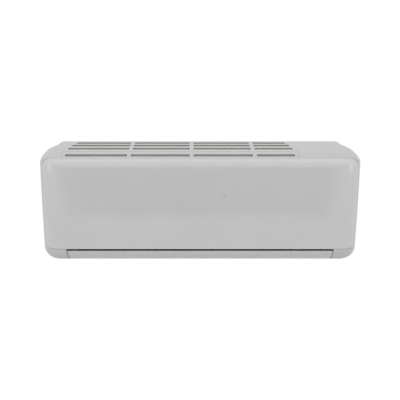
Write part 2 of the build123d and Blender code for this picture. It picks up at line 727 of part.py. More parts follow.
def end_wall(x0, hole):
    """An end of the fan chamber: a disc round the fan axis on a base, and the duct's side."""
    disc = Pos(FAN_Y, FAN_Z) * Circle(END_DISC_RADIUS)
    back = -BACK_GAP - 1
    base = polygon((MOUTH_REAR + 2, BOTTOM + 1), (RECESS_REAR_EDGE, BOTTOM + 1),
                   (RECESS_REAR_EDGE, RECESS_TOP - 1), (back, RECESS_TOP - 1),
                   (back, SCROLL_TOP[1] - 1), (SCROLL_TOP[0] + 4, SCROLL_TOP[1] - 1), (FAN_Y, FAN_Z))
    low = along_line(TONGUE, CEILING_LENGTH - 4, 0.6)
    high = along_line(TONGUE, 3, 0.6)
    side = polygon((MOUTH_REAR + 2, BOTTOM + 1), (MOUTH_REAR + 3, FLAP_PIVOT_Z + 4),
                   (FLAP_PIVOT_Y - 2, FLAP_PIVOT_Z + 12), (FLAP_PIVOT_Y - 36, FLAP_PIVOT_Z + 6),
                   (CEILING_FRONT[0] + 3, CEILING_FRONT[1] - 1.5), low, high, (FAN_Y, FAN_Z))
    wall = prism_x(disc + base + side, x0, x0 + DUCT_WALL)
    return wall - rod_x(hole, x0 - 1, x0 + DUCT_WALL + 1, FAN_Y, FAN_Z)


def rear_gutter():
    """Channel under the rear coil slab, joined to the back wall."""
    front = SCROLL_TOP[0] - 6
    floor = SCROLL_TOP[1]
    section = polygon((front, floor + 7), (front + 2, floor + 7), (front + 2, floor),
                      (-BACK_GAP - 1, floor), (-BACK_GAP - 1, floor - 2.5), (front + 2, floor - 2.5),
                      (front, floor - 1))
    return prism_x(section, DUCT_LEFT - DUCT_WALL, DUCT_RIGHT + DUCT_WALL)


def back_wall():
    """The wall that faces the mounting plate, with a rim that fits inside the casing."""
    inner = envelope(CHASSIS_GAP)
    wall = inner & block(-WIDTH, WIDTH, -BACK_GAP - CHASSIS_WALL, -BACK_GAP, RECESS_TOP, TOP)
    rim = inner - envelope(CHASSIS_GAP + CHASSIS_WALL)
    rim = rim & block(-WIDTH, WIDTH, -BACK_GAP - CHASSIS_WALL, -1, BOTTOM + 30, TOP)
    return wall + rim


def hang_lip():
    """The lip that drops behind the wall plate's hooks."""
    lip = None
    for x in hook_places():
        half = HOOK_WIDTH / 2 + 6
        z1 = PLATE_HIGH + HOOK_HEIGHT + 4
        web = block(x - half, x + half, -BACK_GAP - 1, -PLATE_WALL - 2.2, z1 - 2, z1)
        tongue = block(x - half, x + half, -PLATE_WALL - 4.6, -PLATE_WALL - 2.2, PLATE_HIGH + SEAT, z1)
        hook = web + tongue
        lip = hook if lip is None else lip + hook
    return lip


def hook_places():
    """X positions of the hooks."""
    return (-HOOK_X, 0.0, HOOK_X)


def motor_cradle():
    """Rear half of the ring that holds the fan motor, on a web from the back wall."""
    middle = MOTOR_LEFT + MOTOR_LENGTH / 2
    x0 = middle - MOTOR_RUBBER_WIDTH / 2
    x1 = middle + MOTOR_RUBBER_WIDTH / 2
    ring = ring_x(MOTOR_RUBBER_RADIUS + SEAT + CRADLE_WALL, MOTOR_RUBBER_RADIUS + SEAT,
                  x0, x1, FAN_Y, FAN_Z)
    ring = ring & block(x0, x1, FAN_Y, 0, BOTTOM, TOP)
    web = block(x0, x1, FAN_Y + MOTOR_RUBBER_RADIUS + 3, -BACK_GAP - 1, FAN_Z - 25, FAN_Z + 25)
    web = web - rod_x(MOTOR_RUBBER_RADIUS + 1, x0 - 1, x1 + 1, FAN_Y, FAN_Z)
    holes = None
    for z in clamp_screw_heights():
        hole = rod_y(SCREW_RADIUS + PRESS_GAP, FAN_Y - 1, FAN_Y + 9, middle, z)
        holes = hole if holes is None else holes + hole
    return ring + web + clamp_lugs(FAN_Y, FAN_Y + 8) - holes


def clamp_screw_heights():
    """Heights of the two screws that hold the motor clamp."""
    reach = MOTOR_RUBBER_RADIUS + SEAT + CRADLE_WALL + CLAMP_LUG / 2
    return (FAN_Z - reach, FAN_Z + reach)


def clamp_lugs(y0, y1):
    """Two lugs beside the motor ring, between two Y positions."""
    middle = MOTOR_LEFT + MOTOR_LENGTH / 2
    half = MOTOR_RUBBER_WIDTH / 2
    lugs = None
    for z in clamp_screw_heights():
        towards = 1 if z < FAN_Z else -1
        z_in = z + towards * (CLAMP_LUG / 2 + 3)
        z_out = z - towards * CLAMP_LUG / 2
        lug = block(middle - half, middle + half, y0, y1, min(z_in, z_out), max(z_in, z_out))
        lugs = lug if lugs is None else lugs + lug
    return lugs


def rear_chassis():
    """The moulding that everything hangs on: back, scroll, gutter, end walls and cradle."""
    base = (BODY - BODY_INSIDE) & block(-BASE_HALF, BASE_HALF, MOUTH_REAR, -0.5,
                                        BOTTOM - 1, BOTTOM + 5)
    scroll = prism_x(trace(scroll_line(), DUCT_WALL), DUCT_LEFT - DUCT_WALL, DUCT_RIGHT + DUCT_WALL)
    recess = block(DUCT_LEFT - DUCT_WALL, DUCT_RIGHT + DUCT_WALL, SCROLL_BACK[0] - 6,
                   -BACK_GAP - 1, RECESS_TOP - 2.5, RECESS_TOP)
    chassis = back_wall() + base + scroll + recess + rear_gutter() + hang_lip() + motor_cradle()
    chassis = chassis + end_wall(DUCT_LEFT - DUCT_WALL, BEARING_HOLE)
    chassis = chassis + end_wall(DUCT_RIGHT, SHAFT_HOLE)
    for z in (BOX_LOW + 30, BOX_HIGH - 30):
        chassis = chassis + block(BOX_LEFT + 8, BOX_LEFT + 8 + POST_SIZE, BOX_REAR + SEAT,
                                  -BACK_GAP - 1, z, z + POST_SIZE)
    for side in (-1, 1):
        x0 = min(side * WIDTH, side * BASE_HALF)
        chassis = chassis - block(x0, x0 + WIDTH - BASE_HALF, FRONT, 5, BOTTOM - 1, BOTTOM + CHASSIS_GAP)
    return chassis - block(GRILLE_LEFT[1] - LEDGE_WIDTH - 1, GRILLE_RIGHT[1] + LEDGE_WIDTH + 1, -30, 5,
                           TOP - GRILLE_DEPTH - TOP_SLOPE_DROP / 2, TOP + 5)


# ================================================================ wall plate
def mounting_plate():
    """Galvanised sheet screwed to the wall, with folded edges, cut-outs and three hooks."""
    half = PLATE_WIDTH / 2
    plate = block(-half, half, -PLATE_WALL, 0, PLATE_LOW, PLATE_HIGH)
    plate = plate + block(-half, half, -7, 0, PLATE_LOW, PLATE_LOW + PLATE_WALL)
    for side in (-1, 1):
        x0 = min(side * half, side * (half - PLATE_WALL))
        plate = plate + block(x0, x0 + PLATE_WALL, -7, 0, PLATE_LOW, PLATE_HIGH - 8)
    for x in (-WINDOW_SPACING, 0.0, WINDOW_SPACING):
        window = RectangleRounded(WINDOW_WIDTH, WINDOW_HEIGHT, WINDOW_CORNER)
        cut = Pos(x, 0, 0) * Rot(90, 0, 0) * extrude(window, 5, both=True)
        plate = plate - cut
    for x in (-BOLT_SPACING_X / 2, BOLT_SPACING_X / 2):
        for z in (-BOLT_SPACING_Z / 2, BOLT_SPACING_Z / 2):
            plate = plate - rod_y(BOLT_HOLE_RADIUS, -3, 1, x, z)
    for x in hook_places():
        x0 = x - HOOK_WIDTH / 2
        x1 = x + HOOK_WIDTH / 2
        plate = plate + block(x0, x1, -HOOK_REACH, 0, PLATE_HIGH - PLATE_WALL, PLATE_HIGH)
        plate = plate + block(x0, x1, -HOOK_REACH, -HOOK_REACH + PLATE_WALL, PLATE_HIGH - PLATE_WALL,
                              PLATE_HIGH + HOOK_HEIGHT)
    return plate


# ================================================================ fan
def fan_blade():
    """Section of one blade: a thin arc, leaning forward, drawn on the +Y side of the axis."""
    inner = Vector(BLADE_INNER_RADIUS, 0)
    lean = math.radians(BLADE_LEAN)
    tip_radius = FAN_RADIUS - 0.6
    outer = Vector(tip_radius * math.cos(lean), tip_radius * math.sin(lean))
    chord = outer - inner
    across = Vector(-chord.Y, chord.X) / chord.length
    middle = (inner + outer) / 2
    half = BLADE_THICK / 2
    front = ThreePointArc(inner, middle - across * (BLADE_BULGE + half), outer)
    back = ThreePointArc(inner, middle - across * (BLADE_BULGE - half), outer)
    return make_face([front, back])


def fan_rotor():
    """Cross-flow wheel: leaning blades between two end discs and four rings."""
    step = 360 / FAN_BLADES
    blades = [Rot(0, 0, step * i) * fan_blade() for i in range(FAN_BLADES)]
    length = FAN_RIGHT - FAN_LEFT
    turn = across_x(FAN_LEFT, FAN_Y, FAN_Z)
    wheel = [turn * extrude(blade, length) for blade in blades]
    disc = rod_x(FAN_RADIUS, FAN_LEFT, FAN_LEFT + FAN_DISC, FAN_Y, FAN_Z)
    disc = disc + rod_x(FAN_RADIUS, FAN_RIGHT - FAN_DISC, FAN_RIGHT, FAN_Y, FAN_Z)
    for i in range(1, FAN_SEGMENTS):
        x = FAN_LEFT + length * i / FAN_SEGMENTS
        disc = disc + ring_x(FAN_RADIUS, BLADE_INNER_RADIUS - 2, x - FAN_DISC / 2,
                             x + FAN_DISC / 2, FAN_Y, FAN_Z)
    hubs = rod_x(FAN_HUB_RADIUS, FAN_LEFT, FAN_LEFT + FAN_HUB_LENGTH, FAN_Y, FAN_Z)
    hubs = hubs + rod_x(FAN_HUB_RADIUS, FAN_RIGHT - FAN_HUB_LENGTH, FAN_RIGHT, FAN_Y, FAN_Z)
    rotor = Part() + [disc + hubs] + wheel
    bore = SHAFT_RADIUS + PRESS_GAP
    rotor = rotor - rod_x(bore, FAN_LEFT - 1, FAN_LEFT + FAN_HUB_LENGTH - 3, FAN_Y, FAN_Z)
    return rotor - rod_x(bore, FAN_RIGHT - FAN_HUB_LENGTH + 3, FAN_RIGHT + 1, FAN_Y, FAN_Z)


BUSH_RADIUS = 8.0
BUSH_LEFT = -348.0
BUSH_RIGHT = -336.0


def stub_shaft():
    """Steel stub that carries the left end of the wheel."""
    return rod_x(SHAFT_RADIUS, BUSH_LEFT - 1, FAN_LEFT + FAN_HUB_LENGTH - 3.2, FAN_Y, FAN_Z)


def motor_shaft():
    """The motor's shaft, from inside the motor to the wheel's right hub."""
    return rod_x(SHAFT_RADIUS, FAN_RIGHT - FAN_HUB_LENGTH + 3.2, MOTOR_LEFT + 20, FAN_Y, FAN_Z)


def fan_bush():
    """Sintered bush round the stub shaft."""
    return ring_x(BUSH_RADIUS, SHAFT_RADIUS + RUN_FIT, BUSH_LEFT, BUSH_RIGHT, FAN_Y, FAN_Z)


def bush_rubber():
    """Rubber ring that holds the bush in the chassis wall."""
    outer = BEARING_HOLE - PRESS_GAP
    return ring_x(outer, BUSH_RADIUS + PRESS_GAP, DUCT_LEFT - DUCT_WALL, BUSH_RIGHT - 1,
                  FAN_Y, FAN_Z)


def bush_retainer():
    """Plate screwed over the rubber ring."""
    x1 = DUCT_LEFT - DUCT_WALL
    plate = ring_x(26, BUSH_RADIUS + 1, x1 - 2, x1, FAN_Y, FAN_Z)
    return plate + block(x1 - 2, x1, FAN_Y - 6, FAN_Y + 6, FAN_Z - 34, FAN_Z - 20)


def fan_motor():
    """Fan motor: a round can with a boss at each end."""
    right = MOTOR_LEFT + MOTOR_LENGTH
    can = rod_x(MOTOR_RADIUS, MOTOR_LEFT, right, FAN_Y, FAN_Z)
    rims = [e for e in can.edges() if e.geom_type == GeomType.CIRCLE]
    can = fillet(rims, 4)
    can = can + rod_x(MOTOR_BOSS_RADIUS, MOTOR_LEFT - MOTOR_BOSS_LENGTH, right + 4, FAN_Y, FAN_Z)
    return can - rod_x(SHAFT_RADIUS + RUN_FIT, MOTOR_LEFT - 20, MOTOR_LEFT + 21, FAN_Y, FAN_Z)


def motor_rubber():
    """Rubber band between the motor and its ring."""
    middle = MOTOR_LEFT + MOTOR_LENGTH / 2
    half = MOTOR_RUBBER_WIDTH / 2 + 2
    return ring_x(MOTOR_RUBBER_RADIUS, MOTOR_RADIUS + PRESS_GAP, middle - half, middle + half,
                  FAN_Y, FAN_Z)


def motor_clamp():
    """Front half of the motor's ring."""
    middle = MOTOR_LEFT + MOTOR_LENGTH / 2
    x0 = middle - MOTOR_RUBBER_WIDTH / 2
    x1 = middle + MOTOR_RUBBER_WIDTH / 2
    ring = ring_x(MOTOR_RUBBER_RADIUS + SEAT + CRADLE_WALL, MOTOR_RUBBER_RADIUS + SEAT,
                  x0, x1, FAN_Y, FAN_Z)
    ring = ring & block(x0, x1, FRONT, FAN_Y - 0.05, BOTTOM, TOP)
    ring = ring + clamp_lugs(FAN_Y - CLAMP_LUG_WALL, FAN_Y - 0.05)
    for z in clamp_screw_heights():
        ring = ring - rod_y(SCREW_RADIUS + SCREW_GAP, FAN_Y - 13, FAN_Y, middle, z)
    return ring


# ================================================================ coil
def coil_slab(slab):
    """A block of fins between the end plates."""
    return prism_x(slab_face(slab), DUCT_LEFT + 0.2, DUCT_RIGHT - 0.2)


def coil_plate(x0):
    """Sheet metal end plate that follows the three slabs, with feet."""
    face = slab_face(FRONT_LOWER_SLAB, COIL_MARGIN) + slab_face(FRONT_UPPER_SLAB, COIL_MARGIN)
    face = face + slab_face(REAR_SLAB, COIL_MARGIN)
    peak_front = slab_point(FRONT_UPPER_SLAB, FRONT_UPPER_SLAB[2] / 2, 0)
    peak_rear = slab_point(REAR_SLAB, REAR_SLAB[2] / 2, 0)
    high = peak_front[1] + 5
    low = peak_front[1] - 10
    face = face + polygon((peak_front[0], high), (peak_rear[0], high), (peak_rear[0], low),
                          (peak_front[0], low))
    knee = slab_point(FRONT_LOWER_SLAB, FRONT_LOWER_SLAB[2] / 2, 0)
    face = face + polygon((knee[0] - 8, knee[1]), (knee[0] + 8, knee[1]),
                          (knee[0] + 8, knee[1] + 10), (knee[0] - 8, knee[1] + 10))
    face = face + polygon((knee[0] - 6, COIL_FOOT), (knee[0] + 6, COIL_FOOT),
                          (knee[0] + 6, knee[1]), (knee[0] - 6, knee[1]))
    rear_foot = slab_point(REAR_SLAB, -REAR_SLAB[2] / 2, 0)
    face = face + polygon((rear_foot[0] - 4, SCROLL_TOP[1] + 0.2), (rear_foot[0] + 4, SCROLL_TOP[1] + 0.2),
                          (rear_foot[0] + 4, rear_foot[1] + 5), (rear_foot[0] - 4, rear_foot[1] + 5))
    return prism_x(face, x0, x0 + COIL_PLATE)


BEND_MARGIN = 17.0


def bend_ends():
    """Pairs of tube ends on the left end plate, as (Y, Z)."""
    pairs = []
    for slab, count in ((FRONT_LOWER_SLAB, 3), (FRONT_UPPER_SLAB, 3), (REAR_SLAB, 3)):
        step = (slab[2] - 2 * BEND_MARGIN) / (count - 1)
        for i in range(count):
            along = -slab[2] / 2 + BEND_MARGIN + step * i
            out = 6.0 if i % 2 else -6.0
            pairs.append((slab_point(slab, along - 6.3, out), slab_point(slab, along + 6.3, out)))
    return pairs


def return_bends():
    """Copper U bends on the left end plate."""
    bends = []
    face = DUCT_LEFT - COIL_PLATE - 0.2
    for start, end in bend_ends():
        gap = math.hypot(end[0] - start[0], end[1] - start[1])
        straight = face - BEND_REACH + gap / 2
        first = Line((face, *start), (straight, *start))
        middle = ((start[0] + end[0]) / 2, (start[1] + end[1]) / 2)
        turn = ThreePointArc((straight, *start), (straight - gap / 2, *middle), (straight, *end))
        last = Line((straight, *end), (face, *end))
        path = Wire([first, turn, last])
        ring = Plane(origin=first @ 0, z_dir=first % 0) * Circle(TUBE_RADIUS)
        bends.append(sweep(ring, path=path).solid())
    return Compound(bends)


def gas_pipe():
    """Large copper pipe, from the rear slab down to the recess behind the unit."""
    x = DUCT_RIGHT + COIL_PLATE + 0.4
    points = [(x, -66, 52), (x + 15, -66, 52), (x + 15, GAS_Y, -20), (x + 15, GAS_Y, GAS_Z),
              (PIPE_END, GAS_Y, GAS_Z)]
    return pipe(points, GAS_RADIUS, [12, 30, PIPE_BEND])


def liquid_pipe():
    """Small copper pipe, beside the gas pipe."""
    x = DUCT_RIGHT + COIL_PLATE + 0.4
    points = [(x, -50, 32), (x + 10, -50, 32), (x + 10, LIQUID_Y, 0), (x + 10, LIQUID_Y, LIQUID_Z),
              (PIPE_END, LIQUID_Y, LIQUID_Z)]
    return pipe(points, LIQUID_RADIUS, [8, 30, PIPE_BEND])


def flare_nuts():
    """Hexagon nuts on the ends of both pipes."""
    nuts = []
    for radius, y, z, across in ((GAS_RADIUS, GAS_Y, GAS_Z, 11.0),
                                 (LIQUID_RADIUS, LIQUID_Y, LIQUID_Z, 8.5)):
        nut = across_x(PIPE_END - 14, y, z) * extrude(RegularPolygon(across, 6), 20)
        nuts.append((nut - rod_x(radius + PRESS_GAP, PIPE_END - 0.1, PIPE_END + 10, y, z)).solid())
    return Compound(nuts)


def pipe_holder():
    """Clip in the recess that holds both pipes to the chassis."""
    x0 = 60.0
    x1 = 90.0
    body = block(x0, x1, -46, -18, BOTTOM + WALL + 0.2, RECESS_TOP - 2.7)
    body = body - rod_x(GAS_RADIUS + PRESS_GAP * 5, x0 - 1, x1 + 1, GAS_Y, GAS_Z)
    return body - rod_x(LIQUID_RADIUS + PRESS_GAP * 5, x0 - 1, x1 + 1, LIQUID_Y, LIQUID_Z)


# ================================================================ drain tray
TRAY_FLOOR = -74.0
TRAY_END = 5.0
TRAY_WALL = 2.4
TRAY_LIP = 1.9


def drain_tray():
    """Trough under the front coil; its underside is the ceiling of the outlet duct."""
    front = FRAME_Y + SEAT
    rim = FILTER_LOW - SEAT
    section = polygon(
        (front, rim), CEILING_FRONT, TONGUE, (TONGUE[0] - 3.0, TONGUE[1] + 18), (TONGUE[0] - 5.0, TONGUE[1] + 18),
        (TONGUE[0] - 9, TRAY_FLOOR), (front + TRAY_WALL + 0.6, TRAY_FLOOR), (front + TRAY_WALL, rim))
    x0 = DUCT_LEFT - TRAY_END
    x1 = DUCT_RIGHT + TRAY_END
    tray = prism_x(section, x0, x1)
    closed = polygon((front, rim), CEILING_FRONT, TONGUE, (TONGUE[0] - 3.0, TONGUE[1] + 18))
    tray = tray + prism_x(closed, x0 - TRAY_WALL, x0) + prism_x(closed, x1, x1 + TRAY_WALL)
    for x in vane_places():
        tray = tray - vane_hole(x)
    for x in RAIL_SCREW_X:
        tray = tray - rod_y(SCREW_RADIUS + PRESS_GAP, front - 1, front + SCREW_LENGTH - 1, x, RAIL_SCREW_Z)
    outlet = DRAIN_RADIUS + PRESS_GAP
    tray = tray - rod_x(outlet, x0 - 3, x0 + 5, DRAIN_START[0], DRAIN_START[1])
    return tray - rod_x(outlet, x1 - 5, x1 + 3, DRAIN_START[0], DRAIN_START[1])


DRAIN_START = (-157.0, -87.5)


def drain_pipe():
    """Drain from the tray's left end, back along the side, to a spigot at the wall."""
    x = DUCT_LEFT - TRAY_END + 4
    points = [(x, *DRAIN_START), (DRAIN_X, *DRAIN_START), (DRAIN_X, -44, DRAIN_Z), (DRAIN_X, -2, DRAIN_Z)]
    return pipe(points, DRAIN_RADIUS, [9.5, 60], bore=DRAIN_BORE)


def drain_plug():
    """Rubber plug in the spare outlet at the tray's right end."""
    x = DUCT_RIGHT + TRAY_END
    plug = rod_x(DRAIN_RADIUS, x - 4.5, x + 2, *DRAIN_START)
    return plug + rod_x(DRAIN_RADIUS + 2, x + TRAY_WALL + 0.05, x + TRAY_WALL + 4, *DRAIN_START) \
        + rod_x(DRAIN_RADIUS, x + 2, x + TRAY_WALL + 1, *DRAIN_START)


# ================================================================ vanes
def vane_places():
    """X positions of all vane axes, left group first."""
    middle = (VANES_PER_GROUP - 1) / 2
    places = []
    for side in (-1, 1):
        for i in range(VANES_PER_GROUP):
            places.append(DUCT_MIDDLE + side * GROUP_OFFSET + (i - middle) * VANE_PITCH)
    return places


def vane_plane(x):
    """Plane at a vane's axis: local X runs down the duct, local Z points into it."""
    return Plane(origin=(x, *VANE_AXIS), x_dir=(0, *DUCT_DIR), z_dir=(0, *DUCT_NORMAL))


def vane_hole(x):
    """Blind hole in the duct ceiling for a vane's pin."""
    depth = VANE_PIN_DEPTH + 0.5
    hole = Cylinder(VANE_PIN_RADIUS + RUN_FIT, depth + 1, align=(Align.CENTER, Align.CENTER, Align.MIN))
    return vane_plane(x).location * Pos(0, 0, -depth) * hole


def vane(x):
    """One upright blade with its pivot pin and, upstream, the crank pin for the link bar."""
    top = VANE_START
    low = VANE_START + VANE_SPAN
    outline = FilletPolyline(
        (-VANE_UPSTREAM, top + 6), (-VANE_UPSTREAM + 6, top), (VANE_DOWNSTREAM, top),
        (VANE_DOWNSTREAM, low - 6), (VANE_DOWNSTREAM - 8, low), (-VANE_UPSTREAM, low),
        radius=[2, 2, 4, 4, 4, 2], close=True)
    blade = extrude(Plane.XZ * make_face(outline), VANE_WALL / 2, both=True)
    pin_length = VANE_PIN_DEPTH + top + 4
    pin = Pos(0, 0, -VANE_PIN_DEPTH) * Cylinder(VANE_PIN_RADIUS, pin_length,
                                               align=(Align.CENTER, Align.CENTER, Align.MIN))
    collar = Pos(0, 0, SEAT) * Cylinder(VANE_PIN_RADIUS + 2, 1.5,
                                       align=(Align.CENTER, Align.CENTER, Align.MIN))
    crank = Pos(-CRANK_ARM, 0, low - 2) * Cylinder(CRANK_PIN_RADIUS, 2 + BAR_GAP + BAR_WALL + 0.8,
                                                  align=(Align.CENTER, Align.CENTER, Align.MIN))
    return vane_plane(x).location * (blade + pin + collar + crank)


def link_bar(places):
    """Bar that joins the crank pins of one group of vanes."""
    low = VANE_START + VANE_SPAN + BAR_GAP
    middle = (places[0] + places[-1]) / 2
    length = places[-1] - places[0] + 14
    bar = Pos(-CRANK_ARM, 0, low) * Box(BAR_WIDTH, length, BAR_WALL,
                                       align=(Align.CENTER, Align.CENTER, Align.MIN))
    for x in places:
        hole = Cylinder(CRANK_PIN_RADIUS + RUN_FIT + 0.03, 3 * BAR_WALL)
        bar = bar - Pos(-CRANK_ARM, middle_side(x - middle), low) * hole
    return vane_plane(middle).location * bar


def middle_side(offset):
    """Offset along X, in the local Y of a vane's plane."""
    return offset * vane_plane(0).y_dir.X


# ================================================================ filters
def filter_band(wall, shift, x0, x1, z_cut=0.0):
    """A band that follows the front of the coil and bends back over its top."""
    y = FRAME_Y + SEAT + FILTER_WALL / 2 + shift
    gap = COIL_MARGIN + FILTER_COIL_GAP + FILTER_WALL / 2 - shift
    out = COIL_THICK / 2 + gap
    low = slab_point(FRONT_UPPER_SLAB, -FRONT_UPPER_SLAB[2] / 2, out)
    high = slab_point(FRONT_UPPER_SLAB, FRONT_UPPER_SLAB[2] / 2, out)
    rise = (high[1] - low[1]) / (high[0] - low[0])
    top = FILTER_TOP - shift
    knee = (y, low[1] + (y - low[0]) * rise)
    crest = (low[0] + (top - low[1]) / rise, top)
    line = FilletPolyline((y, FILTER_LOW + z_cut), knee, crest, (FILTER_REAR - z_cut, top),
                          radius=[FILTER_KNEE_BEND, FILTER_TOP_BEND])
    return prism_x(trace(line, wall), x0, x1), knee, crest


def filter_cells(x0, x1, knee, crest):
    """Boxes that cut the windows between the filter's ribs."""
    inner0 = x0 + FILTER_RIM
    inner1 = x1 - FILTER_RIM
    width = (inner1 - inner0 - (FILTER_COLUMNS - 1) * FILTER_RIB) / FILTER_COLUMNS
    columns = [inner0 + i * (width + FILTER_RIB) for i in range(FILTER_COLUMNS)]
    low = FILTER_LOW + FILTER_RIM
    middle = (low + knee[1]) / 2
    spans = [(FRONT, FRAME_Y + 6, low, middle - 2), (FRONT, FRAME_Y + 6, middle + 2, knee[1] - 2)]
    slant = (knee[0] + crest[0]) / 2
    spans += [(knee[0] + 6, slant - 2, knee[1], crest[1] + 5), (slant + 2, crest[0] - 6, knee[1], crest[1] + 5)]
    rear = FILTER_REAR - FILTER_RIM
    half = (crest[0] + 4 + rear) / 2
    spans += [(crest[0] + 4, half - 2, crest[1] - 5, crest[1] + 5), (half + 2, rear, crest[1] - 5, crest[1] + 5)]
    cells = []
    for x in columns:
        for y0, y1, z0, z1 in spans:
            cells.append(block(x, x + width, y0, y1, z0, z1))
    return cells


def filter_frame(x0, x1):
    """Moulded filter frame with ribs and a pull tab at the bottom."""
    band, knee, crest = filter_band(FILTER_WALL, 0, x0, x1)
    frame = band - filter_cells(x0, x1, knee, crest)
    middle = (x0 + x1) / 2
    tab = block(middle - 16, middle + 16, FRAME_Y - 4, FRAME_Y + SEAT + FILTER_WALL,
                FILTER_LOW, FILTER_LOW + 3)
    return frame + tab


def filter_mesh(x0, x1):
    """Fine net behind the filter frame."""
    shift = FILTER_WALL / 2 + MESH_GAP + MESH_WALL / 2
    return filter_band(MESH_WALL, shift, x0 + 3, x1 - 3, z_cut=3)[0]


def filter_limits():
    """Left and right edge of each filter."""
    left, right = FILTER_TOTAL_LIMITS
    return [(left, MULLION_X - 1.5), (MULLION_X + 1.5, right)]


# ================================================================ electrical parts
BOX_LEFT = 338.0
BOX_RIGHT = 371.0
BOX_FRONT = -165.0
BOX_REAR = -60.0
BOX_LOW = -95.0
BOX_HIGH = 70.0
BOX_WALL = 2.0


def electrical_box():
    """Open fronted box for the control board, with a shelf for the terminal block."""
    box = block(BOX_LEFT, BOX_RIGHT, BOX_FRONT, BOX_REAR, BOX_LOW, BOX_HIGH)
    box = box - block(BOX_LEFT + BOX_WALL, BOX_RIGHT - BOX_WALL, BOX_FRONT - 1, BOX_REAR - BOX_WALL,
                      BOX_LOW + BOX_WALL, BOX_HIGH - BOX_WALL)
    shelf = block(COVER_LEFT + 4, BOX_LEFT + 1, BOX_FRONT + 20, BOX_FRONT + 22, COVER_LOW, COVER_HIGH)
    return box + shelf


def electrical_cover():
    """Sheet cover on the front of the box."""
    plate = block(BOX_LEFT, BOX_RIGHT, BOX_FRONT - 1.2, BOX_FRONT, BOX_LOW, BOX_HIGH)
    side = block(BOX_LEFT - 1.2, BOX_LEFT, BOX_FRONT - 1.2, BOX_FRONT + 8, BOX_LOW, BOX_HIGH)
    return plate + side


def control_board():
    """Printed circuit board on the box's left wall."""
    x = BOX_LEFT + BOX_WALL + 3
    board = block(x, x + 1.6, BOX_FRONT + 6, BOX_REAR - 8, BOX_LOW + 8, BOX_HIGH - 8)
    for y in (BOX_FRONT + 12, BOX_REAR - 14):
        for z in (BOX_LOW + 14, BOX_HIGH - 14):
            board = board + rod_x(2.5, BOX_LEFT + BOX_WALL, x + 0.5, y, z)
    return board


def board_components():
    """Relay, capacitor, transformer and heat sink on the board."""
    x = BOX_LEFT + BOX_WALL + 4.6
    relay = block(x, x + 15, -150, -130, -70, -48)
    filter_coil = block(x, x + 18, -120, -98, -75, -50)
    capacitor = rod_x(9, x, x + 22, -138, -20)
    small_capacitor = rod_x(5, x, x + 14, -112, -20)
    sink = block(x, x + 20, -100, -76, 0, 40)
    for i in range(3):
        y = -96 + i * 7
        sink = sink - block(x + 4, x + 21, y, y + 3.5, -1, 41)
    chip = block(x, x + 3, -150, -132, 14, 32)
    return Compound([relay, filter_coil, capacitor, small_capacitor, sink.solid(), chip])


def terminal_block():
    """Terminal strip for the outdoor unit's wires."""
    y1 = BOX_FRONT + 20
    strip = block(COVER_LEFT + 8, BOX_LEFT - 4, y1 - 12, y1, -64, -36)
    for i in range(4):
        x = COVER_LEFT + 12 + i * 9.5
        strip = strip - block(x, x + 7.5, y1 - 13, y1 - 5, -60, -40)
    return strip


def terminal_screws():
    """Clamp screws in the terminal strip."""
    y1 = BOX_FRONT + 15
    screws = []
    for i in range(4):
        x = COVER_LEFT + 15.75 + i * 9.5
        screws.append(rod_y(3.0, y1 - 3, y1, x, -50))
    return Compound(screws)


def test_button():
    """Push button that starts the unit without the remote control."""
    face = FRAME_Y - FRAME_WALL
    stem = rod_y(BUTTON_RADIUS, face - 3, FRAME_Y + 2, BUTTON_X, BUTTON_Z)
    return stem + rod_y(BUTTON_RADIUS + 1.5, FRAME_Y + SEAT, FRAME_Y + 2, BUTTON_X, BUTTON_Z)


def button_board():
    """Switch under the button, on a small board on two posts of the box."""
    y0 = FRAME_Y + 2 + BUTTON_TRAVEL + SEAT
    switch = block(BUTTON_X - 3, BUTTON_X + 3, y0, y0 + 3, BUTTON_Z - 3, BUTTON_Z + 3)
    board = block(BUTTON_X - 12, BOX_LEFT - 1.4, y0 + 3, y0 + 4.6, BUTTON_Z - 9, BUTTON_Z + 9)
    return switch + board


